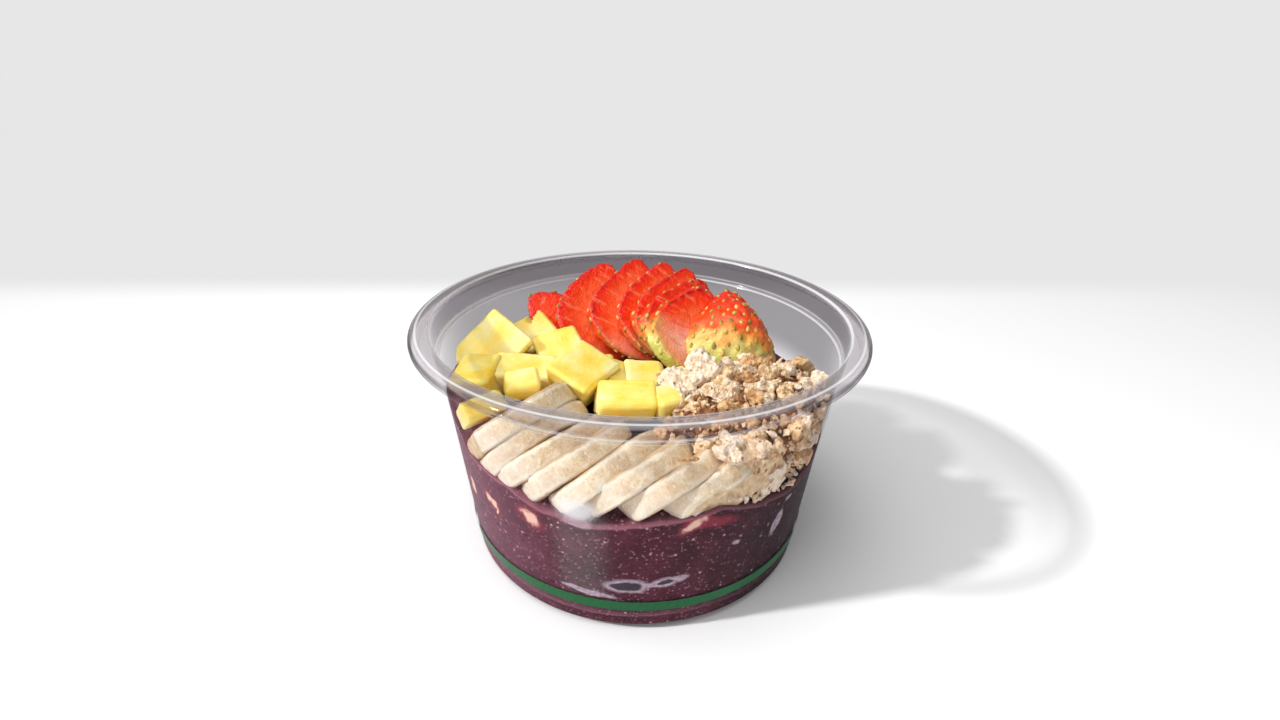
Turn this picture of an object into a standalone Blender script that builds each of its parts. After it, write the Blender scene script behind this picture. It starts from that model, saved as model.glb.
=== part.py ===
"""Acai bowl: a clear thin-walled takeaway bowl, filled with acai and topped with a fan of banana
slices, mango cubes, one strawberry cut lengthwise and fanned, and a heap of granola.

Metres, +Z up. The origin is the middle of the base, and the front of the bowl faces -Y.
"""

import math
import random

import bmesh
import bpy
from mathutils import Matrix, Vector, noise

MM = 0.001
GAP = 0.3 * MM  # kept between two pieces that touch
MERGE = 0.00001

# The bowl: a tapered cup of one even sheet, its rim rolled outwards and down
RIM_RADIUS = 59.0 * MM
HEIGHT = 65.1 * MM
SHEET = 0.6 * MM
BASE_INNER_RADIUS = 45.4 * MM
CORNER_HEIGHT = 2.2 * MM
CORNER_RADIUS = 47.4 * MM
MID_HEIGHT = 50.0 * MM
MID_RADIUS = 51.7 * MM
LEDGE_HEIGHT = 57.6 * MM
LEDGE_RADIUS = 52.1 * MM
LEDGE_STEP = 0.7 * MM
MOUTH_RADIUS = 53.8 * MM
LIP_RADIUS = 56.7 * MM
LIP_DROP = 3.6 * MM
BOWL_STEPS = 48

# The acai: its height against the wall, by the angle round from the front, in degrees
ACAI_STEPS = 48
ACAI_RINGS = 5
ACAI_CENTRE = 39.5 * MM
ACAI_AT_WALL = (
    (-180, 43), (-130, 44), (-95, 47), (-66, 49), (-57, 44), (-53, 39.5), (-38, 38.3), (-24, 34.8),
    (-10, 33.4), (6, 35.6), (22, 37.6), (34, 34.4), (48, 32.8), (60, 34.5), (68, 38), (100, 40),
    (140, 41), (180, 43),
)

# Banana: slices cut a little on the slant, stacked along the front wall and leaning right
BANANA_LENGTH = 30 * MM
BANANA_WIDTH = 28 * MM
BANANA_THICKNESS = 4.7 * MM
BANANA_SIDES = 21
BANANA_NORMAL = Vector((-0.55, 0.45, 0.70)).normalized()
BANANA_ALONG = Vector((0.61, 0.78, 0.12))
BANANA_CENTRES = (
    (-28.6, -24.0, 44.0), (-25.6, -25.6, 40.0), (-20.6, -28.8, 38.6), (-14.4, -31.7, 38.0),
    (-7.6, -34.5, 37.8), (0.2, -36.3, 37.8), (8.2, -37.1, 37.6), (16.2, -36.0, 36.8), (20.6, -36.2, 33.4),
)

# Mango: cut by hand into uneven blocks. The middle and the length, width and thickness, in mm, then
# the turns: spin in its own plane, tilt to face the front, lean to the right
MANGO_BLOCKS = (
    ((-42.0, 5.0, 50.0), (17, 15, 5), (48, 44, -4)),
    ((-33.0, 21.0, 46.8), (12, 11, 9), (42, 34, 4)),
    ((-22.0, 7.0, 46.0), (14, 12, 10), (-62, 26, 8)),
    ((-42.0, -9.8, 48.4), (11, 11, 9), (-12, 24, -8)),
    ((-29.5, -7.0, 49.0), (16, 10, 7), (4, 20, -2)),
    ((-29.5, -17.5, 51.0), (8, 6, 4), (20, 20, 10)),
    ((-15.0, -10.0, 50.0), (14, 12, 10), (58, 24, 4)),
    ((-11.0, 3.0, 44.6), (7, 9, 8), (10, 10, 4)),
    ((-5.5, -8.5, 46.0), (6, 11, 9), (4, 14, 10)),
    ((2.3, -8.2, 46.2), (10, 10, 9), (8, 20, 0)),
    ((10.0, -9.0, 46.5), (6, 9, 8), (-30, 14, 16)),
    ((-3.3, -20.2, 48.6), (14, 9, 6), (4, 16, 2)),
    ((7.0, -20.0, 48.0), (7, 8, 7), (24, 12, -8)),
    ((-37.5, -28.5, 50.0), (11, 8, 5), (40, -20, -34)),
)
MANGO_BEVEL = 0.8 * MM
MANGO_SKEW = 0.22  # the most that a block narrows or leans, as a share of its size

# Strawberry: berries cut lengthwise and fanned out, from the small cap at the left to the large one.
# For each piece: the two cuts, in mm from the berry's middle, the berry's size, the middle of the
# piece, how far it leans to the right, and its turn in its own plane
BERRY_LENGTH = 39 * MM
BERRY_RADIUS = 16 * MM
BERRY_INCLINE = 38  # degrees that the long axis rises towards the back
BERRY_PIECES = (
    (-17.0, -10.0, 0.85, (-30.0, 28.0, 53.0), 20, 60),
    (-9.5, -6.2, 1.1, (-11.4, 29.0, 52.6), 27, -14),
    (-6.5, -3.2, 1.06, (-1.0, 29.5, 52.4), 27, -15),
    (-5.8, -2.5, 1.02, (7.2, 29.0, 52.2), 27, -16),
    (-2.4, 0.9, 0.98, (12.0, 25.0, 52.6), 27, -17),
    (1.0, 4.3, 0.97, (14.3, 19.5, 53.3), 27, -17),
    (3.6, 7.2, 1.0, (16.0, 11.5, 54.6), 27, -15),
    (6.5, 17.0, 1.08, (28.0, 8.0, 56.0), 20, -4),
)

# Granola: one uneven heap against the right of the bowl
GRANOLA_CENTRE = (29.5, -20.0, 43.5)
GRANOLA_RADII = (26, 20, 12.5)
GRANOLA_TURN = 38
GRANOLA_LUMP = 2.6 * MM

COLOURS = {
    "bowl": ((0.86, 0.88, 0.88), 0.08),
    "acai": ((0.16, 0.045, 0.085), 0.35),
    "banana": ((0.86, 0.74, 0.52), 0.5),
    "mango": ((0.93, 0.72, 0.16), 0.4),
    "strawberry": ((0.85, 0.07, 0.03), 0.35),
    "granola": ((0.74, 0.54, 0.34), 0.8),
}


def clear_scene():
    for obj in list(bpy.data.objects):
        bpy.data.objects.remove(obj)


def new_collection(name):
    collection = bpy.data.collections.new(name)
    bpy.context.scene.collection.children.link(collection)
    return collection


def material(kind):
    """The finish shared by every piece of this kind."""
    if kind in bpy.data.materials:
        return bpy.data.materials[kind]
    colour, roughness = COLOURS[kind]
    made = bpy.data.materials.new(kind)
    made.use_nodes = True
    shader = made.node_tree.nodes["Principled BSDF"]
    shader.inputs["Base Color"].default_value = (*colour, 1)
    shader.inputs["Roughness"].default_value = roughness
    if kind == "bowl":
        shader.inputs["Transmission Weight"].default_value = 1
        shader.inputs["IOR"].default_value = 1.5
    return made


def add_object(name, bm, kind, collection):
    """Turns bm into an object of this kind, in the collection."""
    bmesh.ops.recalc_face_normals(bm, faces=bm.faces)
    mesh = bpy.data.meshes.new(name)
    bm.to_mesh(mesh)
    bm.free()
    mesh.materials.append(material(kind))
    obj = bpy.data.objects.new(name, mesh)
    collection.objects.link(obj)
    return obj


def arc(start, end, centre, steps):
    """Points between two points of a profile, along the quarter ellipse round centre."""
    points = []
    for step in range(1, steps):
        turn = math.pi / 2 * step / steps
        from_start = math.cos(turn)
        from_end = math.sin(turn)
        points.append(tuple(c + (s - c) * from_start + (e - c) * from_end
                            for s, e, c in zip(start, end, centre)))
    return points


def wall_radius(height):
    """The bowl's inner radius at a height above its corner."""
    if height < MID_HEIGHT:
        share = (height - CORNER_HEIGHT) / (MID_HEIGHT - CORNER_HEIGHT)
        return CORNER_RADIUS + share * (MID_RADIUS - CORNER_RADIUS)
    share = (height - MID_HEIGHT) / (LEDGE_HEIGHT - MID_HEIGHT)
    return MID_RADIUS + share * (LEDGE_RADIUS - MID_RADIUS)


def bowl_profile():
    """The inner face of the sheet, from the middle of the base over the rim to the end of its lip."""
    corner_start = (BASE_INNER_RADIUS, SHEET)
    corner_end = (CORNER_RADIUS, CORNER_HEIGHT)
    mouth = (MOUTH_RADIUS, HEIGHT - 0.4 * MM)
    crown = (MOUTH_RADIUS + 0.6 * MM, HEIGHT)
    lip_start = (LIP_RADIUS, HEIGHT)
    lip_side = (RIM_RADIUS, HEIGHT - LIP_DROP / 2)
    lip_end = (LIP_RADIUS + 0.5 * MM, HEIGHT - LIP_DROP)
    points = [(0, SHEET), corner_start]
    points += arc(corner_start, corner_end, (BASE_INNER_RADIUS, CORNER_HEIGHT), 2)
    points += [corner_end, (MID_RADIUS, MID_HEIGHT), (LEDGE_RADIUS, LEDGE_HEIGHT)]
    points += [(LEDGE_RADIUS + LEDGE_STEP, LEDGE_HEIGHT + 1.1 * MM), mouth, crown, lip_start]
    points += arc(lip_start, lip_side, (LIP_RADIUS, HEIGHT - LIP_DROP / 2), 2)
    points += [lip_side]
    points += arc(lip_side, lip_end, (LIP_RADIUS + 0.5 * MM, HEIGHT - LIP_DROP / 2), 2)
    points += [lip_end, (LIP_RADIUS - 0.7 * MM, HEIGHT - LIP_DROP)]
    return points


def make_bowl(collection):
    """The profile turned about the axis, and thickened outwards into a sheet."""
    bm = bmesh.new()
    corners = [bm.verts.new((x, 0, z)) for x, z in bowl_profile()]
    for one, two in zip(corners, corners[1:]):
        bm.edges.new((one, two))
    bowl = add_object("bowl", bm, "bowl", collection)
    turn = bowl.modifiers.new("turn", "SCREW")
    turn.steps = turn.render_steps = BOWL_STEPS
    turn.use_merge_vertices = True
    turn.merge_threshold = MERGE
    turn.use_smooth_shade = True
    sheet = bowl.modifiers.new("sheet", "SOLIDIFY")
    sheet.thickness = SHEET
    sheet.offset = -1
    sheet.use_even_offset = True
    return bowl


def level_at_wall(degrees):
    """The acai's height where it meets the wall, eased between the named angles."""
    for (one, low), (two, high) in zip(ACAI_AT_WALL, ACAI_AT_WALL[1:]):
        if one <= degrees <= two:
            share = (degrees - one) / (two - one)
            eased = share * share * (3 - 2 * share)
            return (low + (high - low) * eased) * MM
    return ACAI_AT_WALL[0][1] * MM


def acai_level(x, y):
    """The acai's height at a point: level in the middle and rising or falling to the wall."""
    degrees = math.degrees(math.atan2(x, -y))
    share = min(1, math.hypot(x, y) / MID_RADIUS)
    blend = share ** 3
    swirl = 0.8 * MM * noise.noise(Vector((x, y, 0)) * 70) * (1 - share)
    back = 3 * MM * max(0, y / MID_RADIUS) * (1 - blend)
    return ACAI_CENTRE * (1 - blend) + level_at_wall(degrees) * blend + back + swirl


def make_acai(collection):
    """A turned plug that fits the bowl with a gap, its top moved to the acai's own level."""
    floor = SHEET + GAP
    corner = CORNER_HEIGHT + GAP
    side_rows = 2
    profile = [(0, floor), (BASE_INNER_RADIUS - GAP, floor), (CORNER_RADIUS - 1.0 * MM, corner - 0.6 * MM)]
    profile += [(wall_radius(corner) - GAP, corner)]
    profile += [(0, 0)] * side_rows
    profile += [(0, 0)] * ACAI_RINGS
    bm = bmesh.new()
    rings = []
    for index, (radius, height) in enumerate(profile):
        ring = []
        for step in range(ACAI_STEPS):
            angle = 2 * math.pi * step / ACAI_STEPS - math.pi
            toward = Vector((math.sin(angle), -math.cos(angle), 0))
            rim_point = toward * MID_RADIUS
            rim_level = acai_level(rim_point.x, rim_point.y)
            if index < 4:
                point = toward * radius + Vector((0, 0, height))
            elif index < 4 + side_rows:
                share = (index - 3) / side_rows
                z = corner + (rim_level - corner) * share
                point = toward * (wall_radius(z) - GAP) + Vector((0, 0, z))
            else:
                share = 1 - (index - 3 - side_rows) / (ACAI_RINGS + 1)
                point = toward * (wall_radius(rim_level) - GAP) * share
                point.z = acai_level(point.x, point.y)
            ring.append(point)
        rings.append(ring)
    # one point closes the middle of the bottom, and one more the middle of the top
    bottom = bm.verts.new((0, 0, floor))
    top = bm.verts.new((0, 0, acai_level(0, 0)))
    placed = [[bm.verts.new(point) for point in ring] for ring in rings[1:]]
    for step in range(ACAI_STEPS):
        after = (step + 1) % ACAI_STEPS
        bm.faces.new((bottom, placed[0][step], placed[0][after]))
        bm.faces.new((top, placed[-1][after], placed[-1][step]))
        for low, high in zip(placed, placed[1:]):
            bm.faces.new((low[step], high[step], high[after], low[after]))
    return add_object("acai", bm, "acai", collection)


def frame_at(centre, spin, tilt, lean):
    """A place in mm: turned flat by spin, then tilted to face the front, then leant to the right."""
    turn = Matrix.Rotation(math.radians(lean), 4, "Y") @ Matrix.Rotation(math.radians(tilt), 4, "X")
    return Matrix.Translation(Vector(centre) * MM) @ turn @ Matrix.Rotation(math.radians(spin), 4, "Z")


def banana_slice(grow=0.0):
    """A slice lying flat at the origin, its long way along X. The cut edges are a little rounded."""
    bm = bmesh.new()
    bmesh.ops.create_cone(bm, cap_ends=True, segments=BANANA_SIDES, radius1=1, radius2=1,
                          depth=BANANA_THICKNESS + 2 * grow)
    for vert in bm.verts:
        angle = math.atan2(vert.co.y, vert.co.x)
        uneven = 1 + 0.02 * math.cos(5 * angle + 0.6)
        vert.co.x *= (BANANA_LENGTH / 2 + grow) * uneven
        vert.co.y *= (BANANA_WIDTH / 2 + grow) * uneven
    if not grow:
        rims = [edge for edge in bm.edges if abs(edge.verts[0].co.z - edge.verts[1].co.z) < MERGE]
        bmesh.ops.bevel(bm, geom=rims, offset=0.6 * MM, segments=1, affect="EDGES")
    return bm


def banana_frame(index):
    """Where a slice stands: its length along the wall, its face up and to the left."""
    normal = BANANA_NORMAL.copy()
    rng = random.Random(40 + index)
    normal += Vector([rng.uniform(-0.015, 0.015) for _ in range(3)])
    normal.normalize()
    along = (BANANA_ALONG - normal * BANANA_ALONG.dot(normal)).normalized()
    across = normal.cross(along)
    turn = Matrix((along, across, normal)).transposed()
    return Matrix.Translation(Vector(BANANA_CENTRES[index]) * MM) @ turn.to_4x4()


def mango_block(size, seed, grow=0.0):
    """A hand-cut block: it narrows a little to one end, and its corners aren't quite square."""
    rng = random.Random(seed)
    narrow_x, narrow_y, shear_x = [rng.uniform(-1, 1) * MANGO_SKEW for _ in range(3)]
    shear_y, slope_x, slope_y = [rng.uniform(-1, 1) * MANGO_SKEW for _ in range(3)]
    bm = bmesh.new()
    bmesh.ops.create_cube(bm, size=1)
    for vert in bm.verts:
        x, y, z = [value * (side * MM + 2 * grow) for value, side in zip(vert.co, size)]
        x = x * (1 + narrow_x * vert.co.z) + shear_x * z
        y = y * (1 + narrow_y * vert.co.z) + shear_y * z
        vert.co = Vector((x, y, z + slope_x * x + slope_y * y))
    if not grow:
        bmesh.ops.bevel(bm, geom=bm.edges[:], offset=MANGO_BEVEL, segments=1, affect="EDGES")
    return bm


def mango_frame(index):
    centre, _, (spin, tilt, lean) = MANGO_BLOCKS[index]
    return frame_at(centre, spin, tilt, lean)


def berry_slice(index, grow=0.0):
    """The part of the berry between two cuts. X is across it, Y towards its tip, Z through the cuts."""
    low, high, size = BERRY_PIECES[index][:3]
    low *= MM
    high *= MM
    radius = BERRY_RADIUS * size + grow
    bm = bmesh.new()
    bmesh.ops.create_uvsphere(bm, u_segments=18, v_segments=11, radius=1)
    for vert in bm.verts:
        along = vert.co.z
        # full and flat at the stalk end, tapering to a blunt tip
        taper = 1 - 0.48 * max(0, along) ** 1.2 + 0.10 * max(0, -along) ** 2
        across = vert.co.x * taper * radius
        through = vert.co.y * taper * radius
        squash = 1 if along > 0 else 0.86
        vert.co = Vector((across, along * squash * (BERRY_LENGTH / 2 * size + grow), through))
    for height, side in ((low - grow, -1), (high + grow, 1)):
        if abs(height) > radius:
            continue
        cut = bmesh.ops.bisect_plane(bm, geom=bm.verts[:] + bm.edges[:] + bm.faces[:], dist=MERGE,
                                     plane_co=(0, 0, height), plane_no=(0, 0, side), clear_outer=True)
        edges = [item for item in cut["geom_cut"] if isinstance(item, bmesh.types.BMEdge)]
        bmesh.ops.edgenet_fill(bm, edges=edges)
    middle = max(-BERRY_RADIUS * size, low) / 2 + min(BERRY_RADIUS * size, high) / 2
    bmesh.ops.translate(bm, verts=bm.verts, vec=(0, 0, -middle))
    return bm


def berry_frame(index):
    _, _, _, centre, lean, spin = BERRY_PIECES[index]
    rise = Matrix.Rotation(math.radians(BERRY_INCLINE), 4, "X")
    turn = Matrix.Rotation(math.radians(lean), 4, "Y") @ Matrix.Rotation(math.radians(spin), 4, "Z")
    return Matrix.Translation(Vector(centre) * MM) @ rise @ turn


def granola_heap(grow=0.0):
    """A lumpy heap, pressed inside the wall."""
    bm = bmesh.new()
    bmesh.ops.create_uvsphere(bm, u_segments=26, v_segments=15, radius=1)
    bmesh.ops.triangulate(bm, faces=bm.faces)
    turn = Matrix.Rotation(math.radians(GRANOLA_TURN), 3, "Z")
    for vert in bm.verts:
        toward = vert.co.copy()
        lump = noise.noise(toward * 3.1) + 0.5 * noise.noise(toward * 7.3)
        point = Vector([value * radius * MM for value, radius in zip(toward, GRANOLA_RADII)])
        point += toward * (GRANOLA_LUMP * lump + grow)
        vert.co = turn @ point + Vector(GRANOLA_CENTRE) * MM
    return bm


def place(bm, frame):
    bmesh.ops.transform(bm, matrix=frame, verts=bm.verts)
    return bm


def make_room_in_bowl(collection):
    """A helper shaped like the inside of the bowl, less a gap, that trims what would reach through."""
    bm = bmesh.new()
    heights = (CORNER_HEIGHT, MID_HEIGHT, LEDGE_HEIGHT)
    profile = [(wall_radius(height) - GAP - 0.1 * MM, height) for height in heights]
    profile.append((profile[-1][0], HEIGHT))
    rings = []
    for radius, height in profile:
        angles = [2 * math.pi * step / BOWL_STEPS for step in range(BOWL_STEPS)]
        rings.append([bm.verts.new((radius * math.cos(a), radius * math.sin(a), height)) for a in angles])
    for low, high in zip(rings, rings[1:]):
        for step in range(BOWL_STEPS):
            after = (step + 1) % BOWL_STEPS
            bm.faces.new((low[step], low[after], high[after], high[step]))
    bm.faces.new(rings[0][::-1])
    bm.faces.new(rings[-1])
    room = add_object("room_in_bowl", bm, "bowl", collection)
    room.hide_render = True
    room.display_type = "WIRE"
    return room


def trim_to_bowl(piece, room):
    """Trims a piece that would reach through the wall, so that it lies flat against it."""
    for vert in piece.data.vertices:
        limit = wall_radius(min(vert.co.z, LEDGE_HEIGHT)) * math.cos(math.pi / BOWL_STEPS) - GAP
        if math.hypot(vert.co.x, vert.co.y) > limit:
            trim = piece.modifiers.new("trim", "BOOLEAN")
            trim.operation = "INTERSECT"
            trim.solver = "EXACT"
            trim.object = room
            return


def box_of(obj):
    """The lowest and highest corners of an object's own mesh."""
    corners = [vert.co for vert in obj.data.vertices]
    return ([min(c[axis] for c in corners) for axis in range(3)],
            [max(c[axis] for c in corners) for axis in range(3)])


def near(one, two):
    """Whether the boxes of two objects meet."""
    (low_1, high_1), (low_2, high_2) = box_of(one), box_of(two)
    return all(low_1[axis] < high_2[axis] and low_2[axis] < high_1[axis] for axis in range(3))


def cut_round(piece, cutters):
    """Leaves a gap in this piece round each neighbour that reaches into it."""
    for cutter in cutters:
        if near(piece, cutter):
            cut = piece.modifiers.new("round_" + cutter.name, "BOOLEAN")
            cut.operation = "DIFFERENCE"
            cut.solver = "EXACT"
            cut.object = cutter


def make_pieces(kind, count, shape, frame, pieces, helpers):
    """Numbered pieces of one kind and, for each, a slightly larger helper that cuts its neighbours."""
    made = []
    for index in range(count):
        name = kind + "_" + str(index + 1)
        piece = add_object(name, place(shape(index, 0.0), frame(index)), kind, pieces)
        helper = add_object("room_" + name, place(shape(index, GAP), frame(index)), kind, helpers)
        helper.hide_render = True
        helper.display_type = "WIRE"
        made.append((piece, helper))
    return made


def main():
    clear_scene()
    pieces = new_collection("acai_bowl")
    helpers = new_collection("helpers")
    make_bowl(pieces)
    acai = make_acai(pieces)

    berries = make_pieces("strawberry", len(BERRY_PIECES), berry_slice, berry_frame, pieces, helpers)
    bananas = make_pieces("banana", len(BANANA_CENTRES), lambda index, grow: banana_slice(grow),
                          banana_frame, pieces, helpers)
    mangoes = make_pieces("mango", len(MANGO_BLOCKS),
                          lambda index, grow: mango_block(MANGO_BLOCKS[index][1], index, grow),
                          mango_frame, pieces, helpers)
    heap = make_pieces("granola", 1, lambda index, grow: granola_heap(grow),
                       lambda index: Matrix.Identity(4), pieces, helpers)
    heap[0][0].name = "granola"

    room = make_room_in_bowl(new_collection("bowl_room"))
    earlier = []
    for piece, helper in berries + bananas + mangoes + heap:
        trim_to_bowl(piece, room)
        cut_round(piece, earlier)
        earlier.append(helper)
    sunk = acai.modifiers.new("round_toppings", "BOOLEAN")
    sunk.operation = "DIFFERENCE"
    sunk.solver = "EXACT"
    sunk.operand_type = "COLLECTION"
    sunk.collection = helpers
    for obj in pieces.objects:
        obj.data.shade_smooth()
        obj.data.set_sharp_from_angle(angle=math.radians(35))


main()
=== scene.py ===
# %% [markdown]
# # An acai bowl
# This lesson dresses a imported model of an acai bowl: a clear plastic bowl of blended acai, topped
# with banana slices, mango blocks, a fanned strawberry and granola. The solids come from the frame,
# and each cell below replaces one kind of them with a finer piece and gives it a finish.

# %% Load the frame
import math
import random
from itertools import cycle

import bmesh
import bpy
import numpy as np
from mathutils import Euler, Matrix, Vector, noise


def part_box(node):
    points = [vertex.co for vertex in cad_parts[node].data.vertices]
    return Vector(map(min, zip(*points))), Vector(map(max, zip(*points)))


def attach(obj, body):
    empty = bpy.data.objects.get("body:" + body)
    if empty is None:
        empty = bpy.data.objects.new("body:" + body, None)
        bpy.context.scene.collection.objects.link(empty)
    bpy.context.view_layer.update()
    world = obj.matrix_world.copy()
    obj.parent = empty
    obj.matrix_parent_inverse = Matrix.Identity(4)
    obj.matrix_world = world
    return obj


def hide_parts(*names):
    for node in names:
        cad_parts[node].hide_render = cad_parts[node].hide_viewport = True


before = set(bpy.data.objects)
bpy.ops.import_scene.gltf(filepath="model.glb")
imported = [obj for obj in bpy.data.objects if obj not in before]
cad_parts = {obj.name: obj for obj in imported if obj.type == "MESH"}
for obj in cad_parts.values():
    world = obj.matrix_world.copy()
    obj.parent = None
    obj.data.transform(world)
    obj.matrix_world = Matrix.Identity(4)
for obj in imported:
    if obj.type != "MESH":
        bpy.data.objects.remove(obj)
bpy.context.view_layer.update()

bowl_low, bowl_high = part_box("bowl")
RIM = (bowl_high.x - bowl_low.x) / 2
MM = RIM / 59  # every length below is in millimetres times this
print("bowl", round(2 * RIM / MM), "mm across and", round(bowl_high.z / MM, 1), "mm tall")

# %% [markdown]
# ## The camera
# The camera stands close to the bowl and looks down at it through a wide lens, so the rim is a full
# ellipse and the far wall shows inside. Its direction is built from a heading, a pitch and a small
# roll, which reads more plainly than Euler angles.

# %% Camera
CAMERA_PLACE = Vector((0, -149.76, 123.6)) * MM
PITCH = 0.45685
HEADING = 0.00069
ROLL = 0.02072
LENS = 16.873


def make_camera():
    ahead = Vector((math.sin(HEADING), math.cos(HEADING), 0))
    forward = ahead * math.cos(PITCH) - Vector((0, 0, math.sin(PITCH)))
    right = forward.cross(Vector((0, 0, 1))).normalized()
    up = right.cross(forward)
    rolled_right = right * math.cos(ROLL) + up * math.sin(ROLL)
    rolled_up = up * math.cos(ROLL) - right * math.sin(ROLL)
    turn = Matrix((rolled_right, rolled_up, -forward)).transposed()
    data = bpy.data.cameras.new("camera")
    data.lens = LENS
    data.clip_start = 0.01
    camera = bpy.data.objects.new("camera", data)
    camera.matrix_world = Matrix.Translation(CAMERA_PLACE) @ turn.to_4x4()
    bpy.context.scene.collection.objects.link(camera)
    bpy.context.scene.camera = camera
    return camera


camera = make_camera()
print("camera at", [round(value / MM) for value in camera.location], "mm")

# %% [markdown]
# ## Finishes as expressions
# A finish is a material whose nodes are written like arithmetic. `Value` wraps a socket, so that
# `1 - mask` or `a * b` adds the Math node for it, and `Finish.add` makes any other node: it takes
# the node's type, its settings and what goes into its sockets. Colours are written as they stand on
# a paint chart, from 0 to 255, and are turned into Blender's own values when they reach a socket.

# %% Shader helpers
def paint(red, green, blue):
    """A colour given in the 0 to 255 steps of a paint chart, as Blender's linear values."""
    steps = [value / 255 for value in (red, green, blue)]
    return tuple(v / 12.92 if v <= 0.04045 else ((v + 0.055) / 1.055) ** 2.4 for v in steps)


class Value:
    """A shader socket that can be used in arithmetic."""

    def __init__(self, finish, socket):
        self.finish = finish
        self.socket = socket

    def _maths(self, operation, *values):
        inputs = dict(enumerate(values))
        return self.finish.add("ShaderNodeMath", inputs, operation=operation)

    def __add__(self, other):
        return self._maths("ADD", self, other)

    def __sub__(self, other):
        return self._maths("SUBTRACT", self, other)

    def __rsub__(self, other):
        return self._maths("SUBTRACT", other, self)

    def __mul__(self, other):
        return self._maths("MULTIPLY", self, other)

    def __truediv__(self, other):
        return self._maths("DIVIDE", self, other)

    def __pow__(self, other):
        return self._maths("POWER", self, other)

    def __abs__(self):
        return self._maths("ABSOLUTE", self)

    __radd__ = __add__
    __rmul__ = __mul__


class Finish:
    """A material and the nodes that make it."""

    def __init__(self, name):
        self.material = bpy.data.materials.new(name)
        self.material.use_nodes = True
        self.nodes = self.material.node_tree.nodes
        self.links = self.material.node_tree.links
        self.nodes.clear()

    def add(self, kind, inputs=None, output=0, **settings):
        """Adds a node: its settings first, then what goes into its sockets. Returns one output."""
        node = self.nodes.new(kind)
        for name, value in settings.items():
            setattr(node, name, value)
        for name, value in (inputs or {}).items():
            socket = node.inputs[name]
            if isinstance(value, Value):
                self.links.new(value.socket, socket)
            elif isinstance(value, tuple) and socket.type == "RGBA":
                socket.default_value = (*paint(*value), 1)
            else:
                socket.default_value = value
        return Value(self, node.outputs[output])

    def place(self, attribute=None):
        """Where a point is: on the object, or in a named attribute of its mesh."""
        if attribute:
            return self.add("ShaderNodeAttribute", output="Vector", attribute_name=attribute)
        return self.add("ShaderNodeTexCoord", output="Object")

    def number(self, attribute):
        return self.add("ShaderNodeAttribute", output="Fac", attribute_name=attribute)

    def axes(self, place):
        return [self.add("ShaderNodeSeparateXYZ", {"Vector": place}, output=axis) for axis in "XYZ"]

    def noise(self, place, scale, detail=2.0, roughness=0.5):
        """Soft random values from 0 to 1. The scale is in features a metre."""
        return self.add("ShaderNodeTexNoise", {"Vector": place, "Scale": scale, "Detail": detail,
                        "Roughness": roughness})

    def cells(self, place, scale):
        """The distance to the nearest of many points strewn at a scale."""
        return self.add("ShaderNodeTexVoronoi", {"Vector": place, "Scale": scale}, output="Distance")

    def stretch(self, place, factors):
        return self.add("ShaderNodeVectorMath", {0: place, 1: factors}, operation="MULTIPLY")

    def step(self, value, low, high, start=0.0, end=1.0):
        """Goes smoothly from start to end as the value goes from low to high."""
        return self.add("ShaderNodeMapRange", {"Value": value, "From Min": low, "From Max": high,
                        "To Min": start, "To Max": end}, interpolation_type="SMOOTHSTEP")

    def specks(self, place, scale, size, patches, shown, detail=1, squash=1.0):
        """1 in round specks, soft between two sizes, that show only in patches of another scale."""
        dots = 1 - self.step(self.cells(self.stretch(place, (1.0, 1.0, squash)), scale), *size)
        return dots * self.step(self.noise(place, patches, detail=detail), *shown)

    def layers(self, colour, *coats):
        """A colour with others laid over it in turn, each where its own mask is 1."""
        for mask, coat in coats:
            inputs = {0: mask, 6: colour, 7: coat}
            colour = self.add("ShaderNodeMix", inputs, output=2, data_type="RGBA")
        return colour

    def ramp(self, value, *stops):
        """Colours along a value. Each stop is a place from 0 to 1 and the colour there."""
        colour = self.add("ShaderNodeValToRGB", {"Fac": value}, output="Color")
        elements = colour.socket.node.color_ramp.elements
        while len(elements) < len(stops):
            elements.new(0.5)
        for element, (place, *chart) in zip(elements, stops):
            element.position = place
            element.color = (*paint(*chart), 1)
        return colour

    def bump(self, height, distance):
        return self.add("ShaderNodeBump", {"Height": height, "Distance": distance})

    def surface(self, colour, roughness, normal=None, **constants):
        """The Principled shader, with constants set on its own sockets by their names."""
        inputs = {"Base Color": colour, "Roughness": roughness}
        if normal:
            inputs["Normal"] = normal
        inputs.update({name.replace("_", " "): value for name, value in constants.items()})
        return self.add("ShaderNodeBsdfPrincipled", inputs, output="BSDF")

    def mixed(self, mask, under, over):
        return self.add("ShaderNodeMixShader", {0: mask, 1: under, 2: over})

    def done(self, shader):
        end = self.nodes.new("ShaderNodeOutputMaterial")
        self.links.new(shader.socket, end.inputs["Surface"])
        return self.material


# %% [markdown]
# ## Mesh helpers
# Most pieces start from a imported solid. Its mesh is loose triangles, so a copy is merged first. A
# voxel remesh then gives it even small faces with soft edges, and the vertices can be moved in code
# to carve the relief of the real food.

# %% Mesh helpers
def mesh_from(bm, name):
    mesh = bpy.data.meshes.new(name)
    bm.to_mesh(mesh)
    bm.free()
    return mesh


def new_object(name, mesh, material=None):
    obj = bpy.data.objects.new(name, mesh)
    bpy.context.scene.collection.objects.link(obj)
    if material:
        mesh.materials.clear()
        mesh.materials.append(material)
    return obj


def evaluated(obj, name):
    """The object's mesh with its modifiers applied, as a new mesh."""
    depsgraph = bpy.context.evaluated_depsgraph_get()
    mesh = bpy.data.meshes.new_from_object(obj.evaluated_get(depsgraph))
    mesh.name = name
    return mesh


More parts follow.
